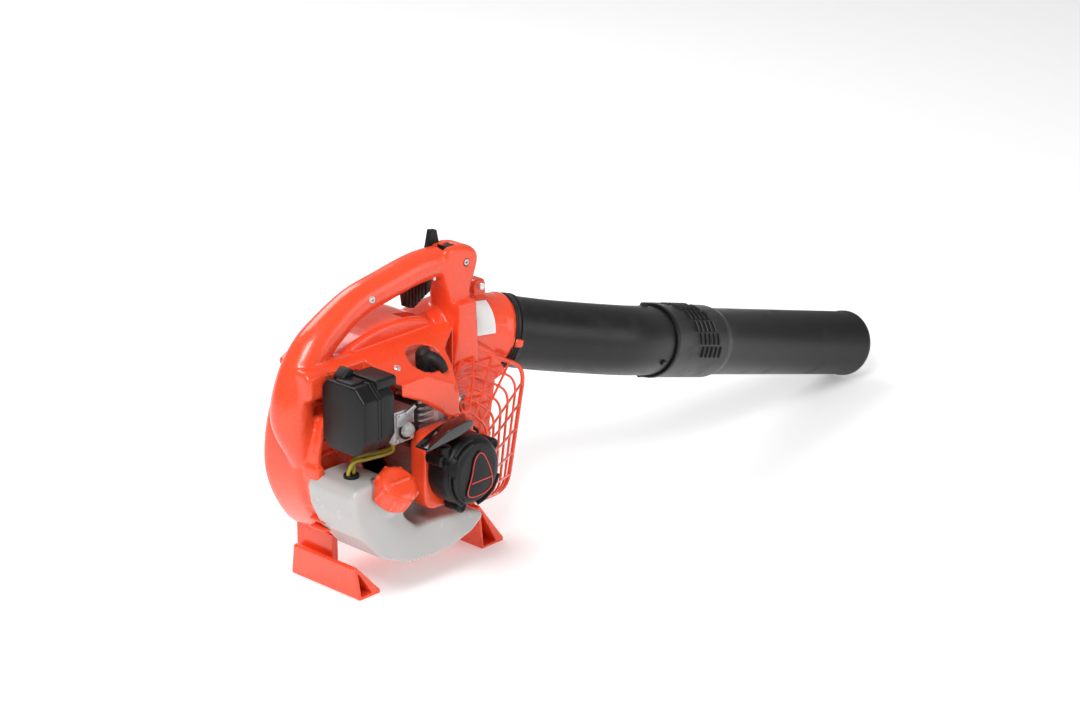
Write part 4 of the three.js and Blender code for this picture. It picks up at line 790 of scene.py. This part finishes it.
# %% Tank
TANK_OUTLINE = [(-60, 148), (-52, 158), (0, 158), (14, 146), (21, 104), (40, 87), (80, 86), (118, 82),
                (141, 75),
                (148, 66), (128, 52), (98, 43), (60, 41), (22, 46), (-16, 64), (-42, 94), (-56, 124)]
CAP_SEAT = Vector((-4, -95, 136))
CAP_AXIS = Vector((0, -0.62, 0.78)).normalized()
tank = slab("tank", TANK_OUTLINE, -97, -20, bevel=9, segments=4, angle=25)
neck = rod("neck", CAP_SEAT - 16 * CAP_AXIS, CAP_SEAT + 14 * CAP_AXIS, 19, 40)
tank = one_skin(joined("tank", tank, neck), 1.6, 12)
cap_room = rod("slot", CAP_SEAT + 3.6 * CAP_AXIS, CAP_SEAT + 60 * CAP_AXIS, 27.6, 48)
cut_with(tank, cap_room)
finish_piece(tank, "housing", TANK, ("fuel_tank",), 50)
grommet = one_skin(cad_copy("grommet_skin", "tank_grommet"), 0.7, 3)
finish_piece(grommet, "housing", RUBBER, ("tank_grommet",), 50)

# %% [markdown]
# ### Cap
# The cap screws onto the neck and has eight lobes and a raised bar to grip it. A turned cup, eight rods
# and the bar are joined and softened, since a moulded cap has no sharp edge.

# %% Cap
cap = turned("cap_skin",
             [(0, 9), (19.6, 9), (19.6, 4.2), (24.2, 4.2), (24.8, 6), (24.2, 24), (21.5, 29), (17, 31),
              (0, 31)],
             CAP_SEAT, CAP_AXIS, 64)
side = CAP_AXIS.cross(Vector((1, 0, 0))).normalized()
lobes = []
for k in range(8):
    out = Vector((1, 0, 0)) * math.cos(k * math.pi / 4) + side * math.sin(k * math.pi / 4)
    foot = CAP_SEAT + out * 23.6
    lobes.append(rod("lobe", foot + CAP_AXIS * 5, foot + CAP_AXIS * 27, 2.6, 16, 1.2))
bar_from = CAP_SEAT + CAP_AXIS * 31
lobes.append(rod("lobe", bar_from - Vector((14, 0, 0)), bar_from + Vector((14, 0, 0)), 3.0, 16, 1.0))
cap = one_skin(joined("cap_skin", cap, *lobes), 0.7, 2)
finish_piece(cap, "cap", ORANGE, ("fuel_cap",), 50)

# %% [markdown]
# ### Fuel hoses
# Two soft hoses rise through the grommet to the carburettor. They are even tubes on the CAD's paths.

# %% Fuel hoses
hose = tube("hose",
            smooth_line([(-33, -62, 146), (-33, -62, 151), (-33, -62, 165), (-27, -66, 177), (-11, -70, 177),
                                 (24, -72, 176), (24, -72, 189)], 8), 2.3, sides=6)
finish_piece(hose, "housing", HOSE, ("fuel_line",), 60)
back_hose = tube("back_hose", smooth_line([(-25, -62, 146), (-25, -62, 158), (-25, -62, 167), (-15, -56, 176),
                                           (33, -60, 174), (33, -60, 189)], 8), 2.3, sides=6)
finish_piece(back_hose, "housing", HOSE, ("return_line",), 60)

# %% [markdown]
# ## Air cleaner and carburettor
# The cover is a deep black box with soft corners. The base carries a lip along its top, and the cast
# carburettor sits behind it with its priming bulb and choke lever.

# %% Air cleaner
SHELL = [(-38, 268), (-46, 277), (-92, 277), (-107, 262), (-107, 216), (-96, 199), (-86, 195), (-48, 195),
         (-38, 205)]
cover = slab("cover", SHELL, -49, -24.4, "x", bevel=3, segments=4, angle=25)
cover_rim = slab("cover_rim", [(-72 + (y + 72) * 1.02, 236 + (z - 236) * 1.02) for y, z in SHELL], -28.4,
                 -24.4, "x", 0.8)
ridge = block("ridge", (-46, -84, 276), (-26, -58, 279.5), 1.2)
finish_piece(joined("cover", cover, cover_rim, ridge), "cover", BLACK,
             ("air_cleaner_cover",))
base = slab("base", SHELL, -23.9, -2, "x", bevel=3.5, segments=3, angle=25)
base_rim = slab("base_rim", [(-72 + (y + 72) * 1.02, 236 + (z - 236) * 1.02) for y, z in SHELL], -23.9,
                -20.5, "x", 0.8)
lip = slab("lip", box_outline(-101, -58, 268, 281, 2.5), -23.5, 6, "x", bevel=1.2)
finish_piece(joined("base", base, base_rim, lip), "housing", BLACK, ("air_cleaner_base",))
latch = rounded_copy("latch_skin", ("cover_latch",), 1.2, 3)
finish_piece(latch, "latch", BLACK, ("cover_latch",))

# %% [markdown]
# ### Carburettor, bulb and choke
# The carburettor is a die-cast block with a cover plate, four screws and a priming bulb. The CAD copies
# get a bevel for the cast edge. The bulb is a turned dome in a black ring.

# %% Carburettor, bulb and choke
carb = rounded_copy("carb_skin", ("carburettor",), 1.0)
details = [rod("detail", (x, -88.4, z), (x, -84, z), 2.4, 16, 0.4) for x,
           z in ((20, 194), (42, 194), (20, 224), (42, 224))]
plate = slab("detail", box_outline(18, 44, 210, 226, 3), -88, -85, bevel=0.8)
arm = slab("detail", [(30, 226), (44, 232), (47, 228), (34, 220)], -90, -88.2, bevel=0.4)
finish_piece(joined("carb_skin", carb, plate, arm, *details), "housing", CAST,
             ("carburettor",))
bulb = turned("bulb_skin",
              [(0, 5), (8.6, 5), (8.8, 0), (8.6, -2), (7.8, -5.4), (5.6, -8.4), (2.8, -9.8), (0, -10)],
              (34, -86, 204), (0, 1, 0), 40)
finish_piece(bulb, "bulb", BULB, ("purge_bulb",), 60)
bulb_ring = turned("bulb_ring", [(9.4, -1.6), (11.6, -1.6), (11.6, -0.1), (9.4, -0.1)], (34, -86, 204),
                   (0, 1, 0), 40)
finish_piece(bulb_ring, "housing", BLACK)
choke = rounded_copy("choke_skin", ("choke_lever",), 0.5)
finish_piece(choke, "choke", ORANGE, ("choke_lever",))

# %% [markdown]
# ## Starter
# The pull-start cover is a domed black cup with three screw tunnels, a boss for the rope and curved
# ridges on its face. A badge without lettering sits in the middle.

# %% Starter cover
cup = turned("cup", [(0, 0), (28, 0.3), (34, 2), (38.5, 7), (41, 14), (42, 24), (42, 38), (38, 38), (0, 38)],
             (91, -142, 150), (0, 1, 0), 72)
bosses = []
for degrees in (24, 152, 256):
    x, z = 91 + 44 * math.cos(math.radians(degrees)), 150 + 44 * math.sin(math.radians(degrees))
    bosses.append(rod("boss", (x, -128, z), (x, -104, z), 7.5, 32, 1.2))
rope_boss = rod("boss", (58.95, -122, 168), (58.95, -122, 187), 7.5, 32, 1.5)
ridges = []
for radius, start, end in ((40.5, 95, 140), (36.5, 100, 150), (40.5, 170, 240), (36.5, 175, 235),
                           (40.5, 275, 340)):
    depth = -137 if radius > 38 else -140.5
    arc = [(91 + radius * math.cos(math.radians(a)), depth, 150 + radius * math.sin(math.radians(a)))
           for a in range(start, end + 1, 5)]
    ridges.append(tube("ridge", arc, 1.9, sides=4))
starter = one_skin(joined("starter", cup, rope_boss, *bosses, *ridges), 1.0, 4)
holes = []
for degrees in (24, 152, 256):
    x, z = 91 + 44 * math.cos(math.radians(degrees)), 150 + 44 * math.sin(math.radians(degrees))
    holes.append(rod("slot", (x, -134, z), (x, -112, z), 4.8, 24))
holes.append(rod("slot", (58.95, -122, 176), (58.95, -122, 190), 2.6, 24))
holes.append(turned("slot", [(0, -0.3), (38.5, -0.3), (38.5, 40), (0, 40)], (91, -128, 150), (0, 1, 0), 64))
cut_with(starter, *holes)
finish_piece(starter, "housing", BLACK, ("starter_housing",), 45)

# %% [markdown]
# ### Badge
# A plate sits on the starter's face, with a raised red outline and one divider. The outline is a thin
# tube on the plate's own curve, drawn in a little. There is no lettering.

# %% Badge: a rounded triangle with a raised outline
BADGE = smooth_line([(72, 126), (93, 121), (113, 128), (111, 150), (97, 175), (85, 170), (79, 150)], 6,
                    closed=True)
badge = slab("badge", BADGE, -143.5, -142.3, bevel=0.4, segments=2, angle=60)
finish_piece(badge, "housing", BLACK, ("starter_badge",))
inner = [(93 + (x - 93) * 0.92, 145 + (z - 145) * 0.92) for x, z in BADGE]
outline = tube("badge_line", [(x, -143.5, z) for x, z in inner + inner[:1]], 0.7, sides=3)
divider = tube("badge_line", [(79.5, -143.5, 140), (112, -143.5, 140)], 0.7, sides=3)
finish_piece(joined("badge_line", outline, divider), "housing", RED_LINE)

# %% [markdown]
# ### Pull handle and rope
# The pull handle is a glossy bar that curves up at its end. The rope behind it is a thin tube in many short
# steps, straight from the housing to the handle.

# %% Pull handle and rope
x, low = 58.95, 194
grip_outline = smooth_line([(x - 35, low - 1), (x - 10, low + 1), (x + 14, low + 3), (x + 33, low + 9),
                            (x + 33, low + 17),
                            (x + 4, low + 15), (x - 20, low + 8), (x - 35, low + 2)], 3, closed=True)
grip = slab("grip", grip_outline, -132, -112, bevel=3, segments=4, angle=50)
finish_piece(grip, "pull", GLOSS_BLACK, ("pull_handle",))
rope = tube("rope_run", [(x, -122, z) for z in range(150, 197, 2)], 1.75, sides=5)
rope.data.materials.append(ROPE)
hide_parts("starter_rope")
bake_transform(rope)

# %% [markdown]
# ## Controls and fasteners
# The trigger, its set lever and the stop switch are small black mouldings with grooves for grip. The
# screws have turned heads with a cross cut into them.

# %% Trigger, lever, switch
trigger = rounded_copy("trigger_skin", ("throttle_trigger",), 1.2, 3)
grooves = [block("slot", (112 + 5.2 * k, -9, 298), (113.8 + 5.2 * k, -5.6, 330)) for k in range(7)]
cut_with(trigger, *grooves)
finish_piece(trigger, "trigger", BLACK, ("throttle_trigger",))
lever = rounded_copy("lever_skin", ("throttle_set_lever",), 1.2, 3)
finish_piece(lever, "set_lever", BLACK, ("throttle_set_lever",))
switch = rounded_copy("switch_skin", ("stop_switch",), 0.9, 3)
finish_piece(switch, "switch", BLACK, ("stop_switch",))


# %% [markdown]
# ### Screws
# Pan-head screws with a cross slot hold the shells together. The head is turned, two small blocks cut
# the slot, and one function makes them all.

# %% Screws
def screw(name, node_name, centre, radius=4.0, tilt=0):
    head = turned(name, [(0, 0), (radius * 0.72, 0), (radius, 1.1), (radius, 3), (0, 3)], centre, (0, 1, 0),
                  32)
    arm = radius * 0.6
    cross = [block("slot", (centre[0] - a, centre[1] - 1, centre[2] - b),
                   (centre[0] + a, centre[1] + 1.3, centre[2] + b))
             for a, b in ((arm, 0.6), (0.6, arm))]
    cut_with(head, *cross)
    middle = Matrix.Translation(Vector(centre) * MM)
    head.matrix_world = middle @ Matrix.Rotation(math.radians(tilt), 4, "X") @ middle.inverted()
    settle(head)
    finish_piece(head, "housing", STEEL, (node_name,) if node_name else ())


screw("handle_screw_a", "handle_screw_1", (49, -20, 337), 4.6)
screw("handle_screw_b", "handle_screw_2", (199, -19.5, 344), 4.4)
screw("hood_screw", None, (45, -62.5, 268.9), 4.4, tilt=-58)
for index, degrees in enumerate((24, 152, 256)):
    x, z = 91 + 44 * math.cos(math.radians(degrees)), 150 + 44 * math.sin(math.radians(degrees))
    screw(f"starter_screw_{'abc'[index]}", f"starter_screw_{index + 1}", (x, -117, z))

# %% [markdown]
# ### Ignition lead and plug boot
# The boot is moulded rubber that bends over the plug, and the lead leaves it. CAD copies, joined with a
# bent tube, are softened by a fine remesh. The ribbed seal ring is turned about the duct's end.

# %% Ignition lead and plug boot
boot_bend = tube("boot_bend", smooth_line([(91, -58, 250, 1.1), (90, -61, 262, 1.15), (92, -68, 268, 1.0),
                                           (96, -77, 264, 0.8), (99, -82, 254, 0.6)], 5), 8.5, sides=8)
boot = one_skin(joined("boot_skin", cad_copy("boot_skin", "plug_boot"), boot_bend), 0.9, 3)
finish_piece(boot, "housing", RUBBER, ("plug_boot",), 50)
lead = one_skin(cad_copy("lead_skin", "ignition_lead"), 0.6, 6)
finish_piece(lead, "housing", RUBBER, ("ignition_lead",), 60)
seal = turned("seal_skin",
              [(40.4, 0.3), (44.5, 0), (45.2, 1.5), (44.2, 3.4), (45.2, 5.2), (44.5, 6.9), (40.4, 6.8)],
              RING + 2.3 * OUTLET, OUTLET, 72)
finish_piece(seal, "housing", RUBBER, ("seal_ring",))

# %% [markdown]
# ## Floor and light
# A pale floor and large soft lamps give the broad white highlights of a studio.

# %% Floor
bpy.ops.object.select_all(action="DESELECT")
bpy.ops.mesh.primitive_plane_add(size=40, location=(0, 0, -0.0005))
floor = bpy.context.object
floor.name = "floor"
floor.data.materials.append(finish("pale floor", (0.9, 0.9, 0.9), 0.7, grain=60, height=0.02, dust=0.0,
                                   variation=0.01,
                                   Emission_Color=(1, 1, 1, 1), Emission_Strength=0.3))
floor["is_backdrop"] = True

# %% [markdown]
# ### Lamps
# One key lamp from the handle side, a weaker fill near the engine and a large lamp behind give soft
# edges and long highlights on the glossy plastic. The world's even light keeps the shadows pale.

# %% Lamps
def lamp(name, location, target, size, power):
    bpy.ops.object.light_add(type="AREA", location=location)
    made = bpy.context.object
    made.name = name
    made.data.size = size
    made.data.energy = power
    made.rotation_euler = (Vector(target) - Vector(location)).to_track_quat("-Z", "Y").to_euler()
    return made


MIDDLE = (0.25, 0, 0.15)
lamp("key", (-1.5, -1.0, 2.4), MIDDLE, 1.2, 62)
lamp("fill", (1.6, -2.4, 1.0), MIDDLE, 1.4, 12)
lamp("back", (0.5, 2.0, 2.2), MIDDLE, 1.6, 40)
world = bpy.data.worlds.new("studio")
bpy.context.scene.world = world
world.use_nodes = True
world.node_tree.nodes["Background"].inputs["Color"].default_value = (1, 1, 1, 1)
world.node_tree.nodes["Background"].inputs["Strength"].default_value = 0.34
bpy.context.scene.view_settings.view_transform = "Standard"

# %% [markdown]
# ### Sizes and the end
# The looks should stay inside the CAD's box. Only the visual box is measured and printed.

# %% Sizes and the end
low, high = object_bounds()
print("visual box", [round(v, 3) for v in high - low])
